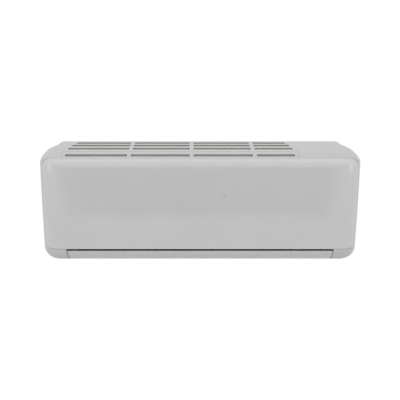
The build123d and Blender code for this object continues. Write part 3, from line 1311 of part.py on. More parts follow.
# ================================================================ export
def all_parts():
    """Every node's name and solid."""
    parts = {
        "mounting_plate": mounting_plate(),
        "rear_chassis": rear_chassis(),
        "front_casing": front_casing(),
        "top_grille": top_grille(),
        "screws": screws(),
        "screw_caps": screw_caps(),
        "wiring_cover": wiring_cover(),
        "front_panel": front_panel(),
        "panel_liner": panel_liner(),
        "receiver_lens": receiver_lens(),
        "receiver_board": receiver_board(),
        "flap": flap(),
        "flap_liner": flap_liner(),
        "flap_motor": flap_motor(),
        "fan_rotor": fan_rotor(),
        "stub_shaft": stub_shaft(),
        "motor_shaft": motor_shaft(),
        "fan_bush": fan_bush(),
        "bush_rubber": bush_rubber(),
        "bush_retainer": bush_retainer(),
        "fan_motor": fan_motor(),
        "motor_rubber": motor_rubber(),
        "motor_clamp": motor_clamp(),
        "coil_front_lower": coil_slab(FRONT_LOWER_SLAB),
        "coil_front_upper": coil_slab(FRONT_UPPER_SLAB),
        "coil_rear": coil_slab(REAR_SLAB),
        "coil_plate_left": coil_plate(DUCT_LEFT - COIL_PLATE),
        "coil_plate_right": coil_plate(DUCT_RIGHT),
        "return_bends": return_bends(),
        "gas_pipe": gas_pipe(),
        "liquid_pipe": liquid_pipe(),
        "flare_nuts": flare_nuts(),
        "pipe_holder": pipe_holder(),
        "drain_tray": drain_tray(),
        "drain_pipe": drain_pipe(),
        "drain_plug": drain_plug(),
        "electrical_box": electrical_box(),
        "electrical_cover": electrical_cover(),
        "control_board": control_board(),
        "board_components": board_components(),
        "terminal_block": terminal_block(),
        "terminal_screws": terminal_screws(),
        "test_button": test_button(),
        "button_board": button_board(),
    }
    for name, (x0, x1) in zip(("left", "right"), filter_limits()):
        parts[f"filter_frame_{name}"] = filter_frame(x0, x1)
        parts[f"filter_mesh_{name}"] = filter_mesh(x0, x1)
    places = vane_places()
    for i, x in enumerate(places):
        parts[f"vane_{i + 1}"] = vane(x)
    parts["link_bar_left"] = link_bar(places[:VANES_PER_GROUP])
    parts["link_bar_right"] = link_bar(places[VANES_PER_GROUP:])
    return parts


if __name__ == "__main__":
    os.makedirs("parts", exist_ok=True)
    for node, solid in all_parts().items():
        export_step(solid, f"parts/{node}.step")
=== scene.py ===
"""Mini split indoor unit: finishes, fin packs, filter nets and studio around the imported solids."""

import json
import logging
import math
from collections.abc import Callable
from dataclasses import dataclass
from enum import Enum

import bpy
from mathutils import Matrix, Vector

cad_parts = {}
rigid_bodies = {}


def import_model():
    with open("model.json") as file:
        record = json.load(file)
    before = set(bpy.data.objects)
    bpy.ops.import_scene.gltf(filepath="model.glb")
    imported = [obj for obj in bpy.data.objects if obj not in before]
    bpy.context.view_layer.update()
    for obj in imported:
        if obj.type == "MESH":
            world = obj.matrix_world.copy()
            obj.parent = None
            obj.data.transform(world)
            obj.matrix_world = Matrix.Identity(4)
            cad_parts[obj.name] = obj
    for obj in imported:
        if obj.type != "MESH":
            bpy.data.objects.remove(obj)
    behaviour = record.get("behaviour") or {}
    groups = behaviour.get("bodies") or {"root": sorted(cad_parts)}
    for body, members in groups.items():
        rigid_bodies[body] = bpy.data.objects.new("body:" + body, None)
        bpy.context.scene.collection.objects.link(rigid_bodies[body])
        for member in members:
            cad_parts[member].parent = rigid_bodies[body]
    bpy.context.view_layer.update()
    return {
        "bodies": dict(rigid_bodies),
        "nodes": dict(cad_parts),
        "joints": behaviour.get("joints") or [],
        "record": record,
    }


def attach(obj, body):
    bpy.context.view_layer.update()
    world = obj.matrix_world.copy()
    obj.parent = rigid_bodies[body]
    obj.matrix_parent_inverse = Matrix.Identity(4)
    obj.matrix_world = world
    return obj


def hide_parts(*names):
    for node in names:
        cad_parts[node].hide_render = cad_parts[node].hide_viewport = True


LOG = logging.getLogger("unit")
MM = 0.001

Tree = bpy.types.NodeTree
Node = bpy.types.Node
Socket = bpy.types.NodeSocket
Source = Node | Socket
Material = bpy.types.Material
Piece = bpy.types.Object
Span = tuple[float, float]
Point = tuple[float, float, float]
Stop = tuple[float, str]

WHITE = (1.0, 1.0, 1.0, 1.0)
PLASTIC_IOR = 1.54
LACQUER_IOR = 1.5
# the middle of a noise pattern, where nearly all of its values lie
NOISE_BAND = (0.3, 0.7)
# share of a relief's depth that the light shows
RELIEF = 0.6


# ---------------------------------------------------------------- colour and nodes
def linear(code: str) -> tuple[float, float, float, float]:
    """Turns an sRGB hex value to a linear colour.

    Args:
        code: six hex digits, with or without a leading #.

    Returns:
        Red, green, blue and alpha for a colour socket.
    """
    digits = code.lstrip("#")
    values = [int(digits[i:i + 2], 16) / 255 for i in (0, 2, 4)]
    red, green, blue = [v / 12.92 if v <= 0.04045 else ((v + 0.055) / 1.055) ** 2.4 for v in values]
    return red, green, blue, 1.0


def shade(code: str, change: float) -> str:
    """Makes a hex value lighter or darker.

    Args:
        code: sRGB hex value.
        change: steps of 255 to add to each channel.

    Returns:
        The new hex value.
    """
    digits = code.lstrip("#")
    values = [min(255, max(0, round(int(digits[i:i + 2], 16) + change))) for i in (0, 2, 4)]
    return "#" + "".join(f"{v:02x}" for v in values)


def between(source: Span, target: Span) -> dict[str, float]:
    """Inputs that map one range of values to another."""
    return {"From Min": source[0], "From Max": source[1], "To Min": target[0], "To Max": target[1]}


def outlet(source: Source) -> Socket:
    """The output that a source stands for: itself, or the first one of a node."""
    return source.outputs[0] if isinstance(source, Node) else source


def add_node(tree: Tree, kind: str, inputs: dict | None = None,
             stops: tuple[Stop, ...] = (), **settings: object) -> Node:
    """Adds a node with its settings and links.

    Args:
        tree: the material's or world's node tree.
        kind: Blender's name of the node type.
        inputs: input by name or number to a value, or to the node or output that feeds it.
        stops: position and sRGB hex value of both ends of a colour ramp.
        settings: properties of the node itself.

    Returns:
        The new node.
    """
    node = tree.nodes.new(kind)
    for name, value in settings.items():
        setattr(node, name, value)
    for key, value in (inputs or {}).items():
        if isinstance(value, Source):
            tree.links.new(outlet(value), node.inputs[key])
        else:
            node.inputs[key].default_value = value
    for element, (place, code) in zip(node.color_ramp.elements if stops else (), stops):
        element.position = place
        element.color = linear(code)
    return node


@dataclass
class Canvas:
    """A new material's tree, with what every finish starts from.

    Attributes:
        material: the material.
        tree: its node tree.
        shader: its Principled shader.
        end: its output node.
        place: Object coordinates.
    """

    material: Material
    tree: Tree
    shader: Node
    end: Node
    place: Socket

    @staticmethod
    def start(name: str) -> "Canvas":
        """Makes a material with a bare Principled shader.

        Args:
            name: the material's name.

        Returns:
            The canvas to work on.
        """
        material = bpy.data.materials.new(name)
        material.use_nodes = True
        tree = material.node_tree
        tree.nodes.clear()
        shader = add_node(tree, "ShaderNodeBsdfPrincipled")
        end = add_node(tree, "ShaderNodeOutputMaterial", {"Surface": shader})
        place = add_node(tree, "ShaderNodeTexCoord").outputs["Object"]
        return Canvas(material, tree, shader, end, place)

    def set(self, **values: object) -> None:
        """Sets shader sockets by name, with _ for a space."""
        for name, value in values.items():
            self.shader.inputs[name.replace("_", " ")].default_value = value

    def feed(self, name: str, source: Source) -> None:
        """Links a node or an output into the shader."""
        self.tree.links.new(outlet(source), self.shader.inputs[name])

    def sized(self, size_mm: float, **values: float) -> dict:
        """Inputs that lay a texture on the piece at a real size.

        Args:
            size_mm: size of its largest features.
            values: its other inputs.

        Returns:
            The inputs by name.
        """
        return {"Vector": self.place, "Scale": 1.0 / (size_mm * MM), **values}

    def cloud(self, colour: str, change: float, size_mm: float) -> None:
        """Lets the base colour drift softly.

        Args:
            colour: sRGB hex value in the middle.
            change: how far it drifts to each side, in steps of 255.
            size_mm: size of the drifts.
        """
        clouds = add_node(self.tree, "ShaderNodeTexNoise", self.sized(size_mm, Detail=2.0))
        low, high = NOISE_BAND
        self.feed("Base Color", add_node(
            self.tree, "ShaderNodeValToRGB", {"Fac": clouds},
            stops=((low, shade(colour, -change)), (high, shade(colour, change)))))

    def surface(self, haze: Source, band: Span, roughness: Span, relief: Source,
                depth_mm: float, strength: float = RELIEF) -> None:
        """Lets one pattern drive the roughness, and the same or another the relief.

        Args:
            haze: pattern of the roughness.
            band: its values that give the two ends of the roughness.
            roughness: those ends.
            relief: pattern of the relief, from 0 to 1.
            depth_mm: how deep a full step of it is.
            strength: share of that depth that the light shows.
        """
        self.feed("Roughness", add_node(
            self.tree, "ShaderNodeMapRange", {"Value": haze, **between(band, roughness)},
            interpolation_type="SMOOTHSTEP"))
        self.feed("Normal", add_node(
            self.tree, "ShaderNodeBump",
            {"Height": relief, "Distance": depth_mm * MM, "Strength": strength}))


# ---------------------------------------------------------------- finishes
@dataclass(frozen=True)
class MouldedPlastic:
    """A polymer part straight from the mould.

    Attributes:
        name: the polymer and where it is used.
        colour: sRGB hex value.
        roughness: middle of the roughness range.
        grain_mm: spacing of the mould's grain. A real one is finer, and wouldn't show.
        grain_depth_mm: its depth.
        clouding: how far the colour drifts, in steps of 255.
        cloud_mm: size of those drifts.
        haze: how far the roughness strays from its middle.
    """

    name: str
    colour: str
    roughness: float
    grain_mm: float = 0.9
    grain_depth_mm: float = 0.02
    clouding: float = 2.0
    cloud_mm: float = 60.0
    haze: float = 0.05

    def material(self) -> Material:
        """Builds the material."""
        canvas = Canvas.start(self.name)
        canvas.cloud(self.colour, self.clouding, self.cloud_mm)
        grain = add_node(canvas.tree, "ShaderNodeTexNoise",
                         canvas.sized(self.grain_mm, Detail=2.0, Roughness=0.6))
        ends = (self.roughness - self.haze, self.roughness + self.haze)
        canvas.surface(grain, NOISE_BAND, ends, grain, self.grain_depth_mm)
        canvas.set(IOR=PLASTIC_IOR)
        return canvas.material


@dataclass(frozen=True)
class PolishedPlastic:
    """A moulding from a polished tool, clear in its reflections and slightly wavy.

    Attributes:
        name: the polymer and where it is used.
        colour: sRGB hex value.
        roughness: middle of the roughness range.
        clouding: how far the colour drifts, in steps of 255.
        cloud_mm: size of those drifts.
        haze_mm: size of its faint smears.
        haze: how far they take the roughness from its middle.
        ripple_mm: length of the faint waves that shrinkage leaves.
        ripple_depth_mm: their depth.
    """

    name: str
    colour: str
    roughness: float = 0.09
    clouding: float = 1.0
    cloud_mm: float = 90.0
    haze_mm: float = 6.0
    haze: float = 0.02
    ripple_mm: float = 70.0
    ripple_depth_mm: float = 0.012

    def material(self) -> Material:
        """Builds the material."""
        canvas = Canvas.start(self.name)
        canvas.cloud(self.colour, self.clouding, self.cloud_mm)
        smears = add_node(canvas.tree, "ShaderNodeTexNoise", canvas.sized(self.haze_mm, Detail=3.0))
        ripple = add_node(canvas.tree, "ShaderNodeTexNoise",
                          canvas.sized(self.ripple_mm, Detail=1.0))
        ends = (self.roughness - self.haze, self.roughness + self.haze)
        canvas.surface(smears, NOISE_BAND, ends, ripple, self.ripple_depth_mm)
        canvas.set(IOR=PLASTIC_IOR)
        return canvas.material


@dataclass(frozen=True)
class SlotShadeGrille:
    """A moulded grille whose upright slot flanks are painted darker in patches, as painted shade in
    the slots.

    Attributes:
        name: the polymer and where it is used.
        colour: sRGB hex value of the unshaded faces.
        dust: sRGB hex value of the flanks, a painted shade.
        roughness: of the unshaded faces.
        flank_roughness: of the flanks.
        tilt: how much a face looks up or down, from 0 to 1, where the painted shade is full and
            where it has ended.
        patch_mm: size of the painted shade's patches.
        patch: how strong the painted shade is between the patches and on them.
        grain_mm: spacing of the mould's grain. A real one is finer, and wouldn't show.
        grain_depth_mm: its depth.
    """

    name: str
    colour: str
    dust: str
    roughness: float
    flank_roughness: float = 0.8
    tilt: Span = (0.2, 0.6)
    patch_mm: float = 9.0
    patch: Span = (0.75, 1.0)
    grain_mm: float = 0.9
    grain_depth_mm: float = 0.02

    def material(self) -> Material:
        """Builds the material."""
        canvas = Canvas.start(self.name)
        facing = add_node(canvas.tree, "ShaderNodeTexCoord").outputs["Normal"]
        across = add_node(canvas.tree, "ShaderNodeSeparateXYZ", {"Vector": facing})
        level = add_node(canvas.tree, "ShaderNodeMath", {0: across.outputs["Z"]},
                         operation="ABSOLUTE")
        flank = add_node(canvas.tree, "ShaderNodeMapRange",
                         {"Value": level, **between(self.tilt, (1.0, 0.0))},
                         interpolation_type="SMOOTHSTEP")
        spots = add_node(canvas.tree, "ShaderNodeTexNoise", canvas.sized(self.patch_mm, Detail=4.0))
        patchy = add_node(canvas.tree, "ShaderNodeMapRange",
                          {"Value": spots, **between(NOISE_BAND, self.patch)},
                          interpolation_type="SMOOTHSTEP")
        # painted shade: upright slot flanks get the darker colour, in patches
        painted_shade = add_node(canvas.tree, "ShaderNodeMath", {0: flank, 1: patchy},
                         operation="MULTIPLY")
        canvas.feed("Base Color", add_node(canvas.tree, "ShaderNodeValToRGB", {"Fac": painted_shade},
                                           stops=((0.0, self.colour), (1.0, self.dust))))
        grain = add_node(canvas.tree, "ShaderNodeTexNoise",
                         canvas.sized(self.grain_mm, Detail=2.0, Roughness=0.6))
        canvas.surface(painted_shade, (0.0, 1.0), (self.roughness, self.flank_roughness),
                       grain, self.grain_depth_mm)
        canvas.set(IOR=PLASTIC_IOR)
        return canvas.material


class MetalWork(Enum):
    """How a metal surface was made: size in mm, octaves and fine weight of its pattern."""

    DRAWN = (12.0, 5.0, 0.6)
    # real tool marks are finer, and wouldn't show
    TURNED = (0.7, 1.0, 0.5)
    SPANGLED = (3.0, 3.0, 0.5)
    FOIL = (25.0, 4.0, 0.5)


@dataclass(frozen=True)
class Metal:
    """A bare or zinc coated metal.

    Attributes:
        name: the metal and what it is used for.
        colour: sRGB hex value.
        dark: sRGB hex value of its dull patches.
        roughness: middle of the roughness range.
        work: how the surface was made.
        spangle_mm: size of the crystals of a zinc coat.
        spangle: weight of those crystals against the fine pattern.
        tone_band: values of the pattern that are wholly dull and wholly clean.
        haze_band: its values at the two ends of the roughness.
        haze: change of the roughness at those ends.
        depth_mm: depth of the pattern.
        relief: share of that depth that the light shows.
    """

    name: str
    colour: str
    dark: str
    roughness: float
    work: MetalWork
    spangle_mm: float = 7.0
    spangle: float = 0.7
    tone_band: Span = (0.25, 0.75)
    haze_band: Span = (0.2, 0.8)
    haze: Span = (0.08, -0.06)
    depth_mm: float = 0.015
    relief: float = 0.5

    def material(self) -> Material:
        """Builds the material."""
        canvas = Canvas.start(self.name)
        canvas.set(Metallic=1.0)
        size, octaves, fine = self.work.value
        tone = add_node(canvas.tree, "ShaderNodeTexNoise",
                        canvas.sized(size, Detail=octaves, Roughness=fine))
        if self.work is MetalWork.SPANGLED:
            cells = add_node(canvas.tree, "ShaderNodeTexVoronoi",
                             canvas.sized(self.spangle_mm, Randomness=1.0))
            crystal = add_node(canvas.tree, "ShaderNodeSeparateColor",
                               {"Color": cells.outputs["Color"]})
            speckle = add_node(canvas.tree, "ShaderNodeMath", {0: tone, 1: 1.0 - self.spangle},
                               operation="MULTIPLY")
            tone = add_node(canvas.tree, "ShaderNodeMath",
                            {0: crystal.outputs["Red"], 1: self.spangle, 2: speckle},
                            operation="MULTIPLY_ADD")
        dull, clean = self.tone_band
        canvas.feed("Base Color", add_node(canvas.tree, "ShaderNodeValToRGB", {"Fac": tone},
                                           stops=((dull, self.dark), (clean, self.colour))))
        ends = (self.roughness + self.haze[0], self.roughness + self.haze[1])
        canvas.surface(tone, self.haze_band, ends, tone, self.depth_mm, self.relief)
        return canvas.material


@dataclass(frozen=True)
class Rubber:
    """Cured rubber or felt with a dusty bloom.

    Attributes:
        name: the material's name.
        colour: sRGB hex value.
        bloom: how much lighter its bloom is, in steps of 255.
        bloom_mm: size of the bloom's patches.
        bloom_band: values of the pattern where the bloom starts and where it is full.
        roughness: between the patches and on them.
        grain_mm: spacing of its grain.
        grain_depth_mm: its depth.
    """

    name: str
    colour: str
    bloom: float = 14.0
    bloom_mm: float = 8.0
    bloom_band: Span = (0.35, 0.8)
    roughness: Span = (0.6, 0.8)
    grain_mm: float = 0.6
    grain_depth_mm: float = 0.03

    def material(self) -> Material:
        """Builds the material."""
        canvas = Canvas.start(self.name)
        bloom = add_node(canvas.tree, "ShaderNodeTexNoise",
                         canvas.sized(self.bloom_mm, Detail=5.0, Roughness=0.6))
        start, full = self.bloom_band
        canvas.feed("Base Color", add_node(
            canvas.tree, "ShaderNodeValToRGB", {"Fac": bloom},
            stops=((start, self.colour), (full, shade(self.colour, self.bloom)))))
        grain = add_node(canvas.tree, "ShaderNodeTexNoise", canvas.sized(self.grain_mm, Detail=3.0))
        canvas.surface(bloom, NOISE_BAND, self.roughness, grain, self.grain_depth_mm)
        return canvas.material


@dataclass(frozen=True)
class CircuitBoard:
    """Green lacquered laminate with copper tracks under the lacquer.

    Attributes:
        name: the material's name.
        lacquer: sRGB hex value between the tracks.
        track: sRGB hex value over the tracks.
        roughness: of the lacquer.
        half_pitch_mm: half the distance from one track to the next, wider than on a real
            board, where it wouldn't show.
        edge_mm: distances from the middle of a gap between which a track's edge rises.
        wander_mm: how far a track strays to the side.
        wander_length_mm: length of those strays.
        track_depth_mm: how far a track stands up.
    """

    name: str
    lacquer: str
    track: str
    roughness: float = 0.3
    half_pitch_mm: float = 1.3
    edge_mm: Span = (0.6, 0.8)
    wander_mm: float = 30.0
    wander_length_mm: float = 30.0
    track_depth_mm: float = 0.04

    def material(self) -> Material:
        """Builds the material."""
        canvas = Canvas.start(self.name)
        height = add_node(canvas.tree, "ShaderNodeSeparateXYZ", {"Vector": canvas.place})
        wander = add_node(canvas.tree, "ShaderNodeTexNoise",
                          canvas.sized(self.wander_length_mm, Detail=0.0))
        stray = add_node(canvas.tree, "ShaderNodeMath", {0: wander, 1: self.wander_mm * MM},
                         operation="MULTIPLY")
        across = add_node(canvas.tree, "ShaderNodeMath", {0: height.outputs["Z"], 1: stray},
                          operation="ADD")
        wave = add_node(canvas.tree, "ShaderNodeMath", {0: across, 1: self.half_pitch_mm * MM},
                        operation="PINGPONG")
        edge = (self.edge_mm[0] * MM, self.edge_mm[1] * MM)
        track = add_node(canvas.tree, "ShaderNodeMapRange",
                         {"Value": wave, **between(edge, (0.0, 1.0))},
                         interpolation_type="SMOOTHSTEP")
        canvas.feed("Base Color", add_node(canvas.tree, "ShaderNodeValToRGB", {"Fac": track},
                                           stops=((0.0, self.lacquer), (1.0, self.track))))
        canvas.feed("Normal", add_node(
            canvas.tree, "ShaderNodeBump",
            {"Height": track, "Distance": self.track_depth_mm * MM, "Strength": 1.0}))
        canvas.set(Roughness=self.roughness, IOR=LACQUER_IOR)
        return canvas.material


def seen_direct(tree: Tree) -> Source:
    """Tells the rays that look at the background, straight or by way of gloss or glass.

    Args:
        tree: the material's or world's node tree.

    Returns:
        1 for such a ray, otherwise 0.
    """
    rays = add_node(tree, "ShaderNodeLightPath").outputs
    seen = rays["Is Camera Ray"]
    for way in ("Is Glossy Ray", "Is Transmission Ray"):
        seen = add_node(tree, "ShaderNodeMath", {0: seen, 1: rays[way]}, operation="MAXIMUM")
    return seen


@dataclass(frozen=True)
class Backdrop:
    """Seam paper that looks plain white, apart from the shadow that falls on it.

    Attributes:
        name: the material's name.
        colour: sRGB hex value of the paper under the lamps.
        roughness: of the paper.
        own_white: share of the paper's look that is plain white, whatever light falls on it.
        glow: strength of that white, a little over 1 so that lit paper comes to white.
    """

    name: str
    colour: str
    roughness: float = 0.9
    own_white: float = 0.8
    glow: float = 1.1

    def material(self) -> Material:
        """Builds the material."""
        canvas = Canvas.start(self.name)
        canvas.set(Base_Color=linear(self.colour), Roughness=self.roughness)
        part = add_node(canvas.tree, "ShaderNodeMath",
                        {0: seen_direct(canvas.tree), 1: self.own_white}, operation="MULTIPLY")
        white = add_node(canvas.tree, "ShaderNodeEmission", {"Color": WHITE, "Strength": self.glow})
        mix = add_node(canvas.tree, "ShaderNodeMixShader", {0: part, 1: canvas.shader, 2: white})
        canvas.tree.links.new(outlet(mix), canvas.end.inputs["Surface"])
        return canvas.material


# A finish by its slot in the record. The comment over it says what the material gives the eye.
FINISHES = {
    # polystyrene from a fine eroded tool: an even, softly matt grey white
    "casing_plastic": MouldedPlastic("polystyrene_casing", "#bcbcbb", 0.42),
    # the same, with painted shade: the upright flanks of the slots are painted a darker warm grey
    "grille_plastic": SlotShadeGrille("polystyrene_grille", "#bebebe", "#a5a29d", 0.42),
    # ABS from a polished tool: clear, slightly wavy reflections over a grey white
    "panel_plastic": PolishedPlastic("polished_abs_panel", "#c5c5c5"),
    # ABS from a satin tool: soft broad reflections
    "flap_plastic": MouldedPlastic("polished_abs_flap", "#bebebd", 0.22,
                                   grain_mm=4.0, grain_depth_mm=0.01, clouding=1.0),
    # unpolished polystyrene behind the casing: duller and a step darker
    "chassis_plastic": MouldedPlastic("polystyrene_chassis", "#a9abab", 0.50,
                                      grain_mm=1.2, grain_depth_mm=0.03),
    # black polystyrene with a weak sheen: partly the outlet's own dark plastic, partly painted shade
    # that makes the gap above the flap look black
    "tray_plastic": MouldedPlastic("polystyrene_drain_tray", "#2b2c2e", 0.48,
                                   grain_mm=1.2, grain_depth_mm=0.03),
    # polypropylene: black with a faint waxy gloss
    "vane_plastic": MouldedPlastic("polypropylene_vane", "#26272a", 0.45),
    # glass filled styrene copolymer: black, with the fibres' coarse mottle
    "fan_plastic": MouldedPlastic("glass_filled_fan", "#1d1e20", 0.40,
                                  grain_mm=2.5, grain_depth_mm=0.03, clouding=4.0),
    # grey polypropylene: matt, a little warm
    "filter_plastic": MouldedPlastic("polypropylene_filter_frame", "#8d8b87", 0.50),
    # polyester yarn: dull and uneven in tone
    "filter_net": MouldedPlastic("woven_polyester_net", "#86837d", 0.60,
                                 grain_mm=0.8, grain_depth_mm=0.05, clouding=5.0),
    # tinted acrylic close to the panel's tone: the clearest reflection on the front
    "lens_plastic": PolishedPlastic("smoked_acrylic_lens", "#bbbcbc", roughness=0.06),
    # glass laminate under green lacquer: raised tracks in a lighter green
    "board": CircuitBoard("lacquered_circuit_board", "#1f4a2c", "#2f6a3c"),
    # moulded epoxy and sleeves: dark, half gloss, mottled
    "components": MouldedPlastic("epoxy_components", "#2c2d30", 0.35,
                                 grain_mm=0.8, grain_depth_mm=0.02, clouding=8.0),
    # coated aluminium foil: pale, cool and softly metallic
    "fins": Metal("hydrophilic_aluminium_fins", "#c4c9cc", "#9aa1a6", 0.36, MetalWork.FOIL),
    # hot dip zinc on the coil's end sheets: pale crystals that differ a little in tone
    "coil_sheet": Metal("galvanised_end_sheet", "#c0c3c5", "#a4a8ab", 0.36, MetalWork.SPANGLED),
    # hot dip zinc on the wall plate: the same crystals, a step darker and duller
    "painted_steel": Metal("galvanised_wall_plate", "#bcc0c2", "#a2a6a9", 0.38,
                           MetalWork.SPANGLED),
    # drawn copper: salmon, with brown tarnish in soft patches
    "copper": Metal("drawn_copper_tube", "#d08a63", "#8a4a2c", 0.28, MetalWork.DRAWN),
    # turned brass: yellow, bright, with fine tool marks
    "nut_brass": Metal("turned_brass", "#d6b36a", "#9a7a3a", 0.26, MetalWork.TURNED),
    # ground steel: grey and bright
    "shaft_steel": Metal("ground_steel_shaft", "#b9babd", "#8b8d90", 0.22, MetalWork.TURNED),
    # zinc plate: a little bluer and duller than the shaft
    "screw_steel": Metal("zinc_plated_screw", "#bfc1c4", "#85888c", 0.28, MetalWork.TURNED),
    # sintered bronze: brown and dull, because its pores scatter the light
    "bush_bronze": Metal("sintered_bronze_bush", "#a5794a", "#6c4c2c", 0.42, MetalWork.TURNED),
    # carbon filled rubber: black, matt, with a greyish bloom
    "black_rubber": Rubber("cured_black_rubber", "#141415"),
    # polyester moulding compound: cream white and stone like
    "motor_body": MouldedPlastic("resin_motor_body", "#d3d2cc", 0.45,
                                 grain_mm=1.5, grain_depth_mm=0.03),
    # acetal: a cool white, smooth and slightly waxy
    "retainer_plastic": MouldedPlastic("acetal_retainer", "#b5b7b8", 0.40),
    # soft vinyl: greyish white with a greasy gloss
    "drain_vinyl": MouldedPlastic("soft_vinyl_drain", "#c6c7c4", 0.35,
                                  grain_mm=2.0, grain_depth_mm=0.02),
}


class Wardrobe:
    """Makes each finish once and hands it out by the record's slot names."""

    def __init__(self) -> None:
        """Starts with no materials."""
        self.made: dict[str, Material] = {}

    def get(self, slot: str) -> Material:
        """The material of a slot.

        Args:
            slot: name of a material slot in the record.

        Returns:
            The material, made on first use.
        """
        if slot not in self.made:
            self.made[slot] = FINISHES[slot].material()
        return self.made[slot]

    def dress(self, piece: Piece, slot: str) -> None:
        """Gives a piece one finish all over."""
        piece.data.materials.clear()
        piece.data.materials.append(self.get(slot))

    def dress_nodes(self, frame: dict) -> None:
        """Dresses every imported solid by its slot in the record.
        """
        slots = {row["node"]: row["material_slot"] for row in frame["record"]["subparts"]}
        for name, piece in frame["nodes"].items():
            for holder in piece.material_slots:
                holder.material = self.get(slots[name])


# ---------------------------------------------------------------- modelling helpers
def only(piece: Piece) -> None:
    """Selects one piece and nothing else."""
    bpy.ops.object.select_all(action="DESELECT")
    piece.select_set(True)
    bpy.context.view_layer.objects.active = piece


def settle(piece: Piece) -> None:
    """Puts a piece's place into its mesh, so that its object stands at the origin."""
    only(piece)
    bpy.ops.object.transform_apply(location=True, rotation=True, scale=True)


def start_from(primitive: Callable, **placing: object) -> Piece:
    """Adds a primitive with nothing else selected.

    Args:
        primitive: the operator that adds it.
        placing: its size and place.

    Returns:
        The new piece.
    """
    bpy.ops.object.select_all(action="DESELECT")
    primitive(**placing)
    return bpy.context.active_object


def open_mesh() -> None:
    """Enters edit mode on the active piece with all of its mesh selected."""
    bpy.ops.object.mode_set(mode="EDIT")
    bpy.ops.mesh.select_all(action="SELECT")


def close_mesh() -> None:
    """Leaves edit mode."""
    bpy.ops.object.mode_set(mode="OBJECT")


def repeat(piece: Piece, first_mm: float, last_mm: float, pitch_mm: float) -> None:
    """Copies a piece's mesh in a row along X.

    Args:
        piece: the piece, which stands at the first place.
        first_mm: X of the first copy.
        last_mm: X that no copy passes.
        pitch_mm: distance from one to the next.
    """
    only(piece)
    array = piece.modifiers.new("row", "ARRAY")
    array.count = int((last_mm - first_mm) / pitch_mm) + 1
    array.use_relative_offset = False
    array.use_constant_offset = True
    array.constant_offset_displace = (pitch_mm * MM, 0.0, 0.0)
    bpy.ops.object.modifier_apply(modifier=array.name)


# ---------------------------------------------------------------- coil
@dataclass
class FinPack:
    """A stack of fins that stands for one slab of the coil.

    Attributes:
        node: the slab's node.
        centre: middle of the slab's section as Y and Z, in mm.
        length: length of a fin in mm.
        lean: turn from upright about X in degrees, which takes its top forward.
        thick: depth of a fin in mm.
        left: X of the first fin in mm.
        right: X that no fin passes, in mm.
        pitch: distance between fins in mm, twice the real one so that it shows.
        sheet: thickness of a fin in mm.
        edge: width in mm by which a fin's edges are broken.
    """

    node: str
    centre: Span
    length: float
    lean: float
    thick: float = 25.0
    left: float = -339.4
    right: float = 257.4
    pitch: float = 2.8
    sheet: float = 0.5
    edge: float = 0.12

    def build(self, wardrobe: Wardrobe) -> Piece:
        """Models one fin with broken edges, then repeats it.

        Args:
            wardrobe: the finishes.

        Returns:
            The fin pack.
        """
        at = (self.left * MM, self.centre[0] * MM, self.centre[1] * MM)
        fin = start_from(bpy.ops.mesh.primitive_cube_add, size=1.0, location=at)
        fin.name = self.node.replace("coil", "fins")
        fin.scale = (self.sheet * MM, self.thick * MM, self.length * MM)
        fin.rotation_euler = (math.radians(self.lean), 0.0, 0.0)
        settle(fin)
        open_mesh()
        bpy.ops.mesh.bevel(offset=self.edge * MM, segments=1)
        close_mesh()
        repeat(fin, self.left, self.right, self.pitch)
        wardrobe.dress(fin, "fins")
        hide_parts(self.node)
        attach(fin, "unit")
        return fin


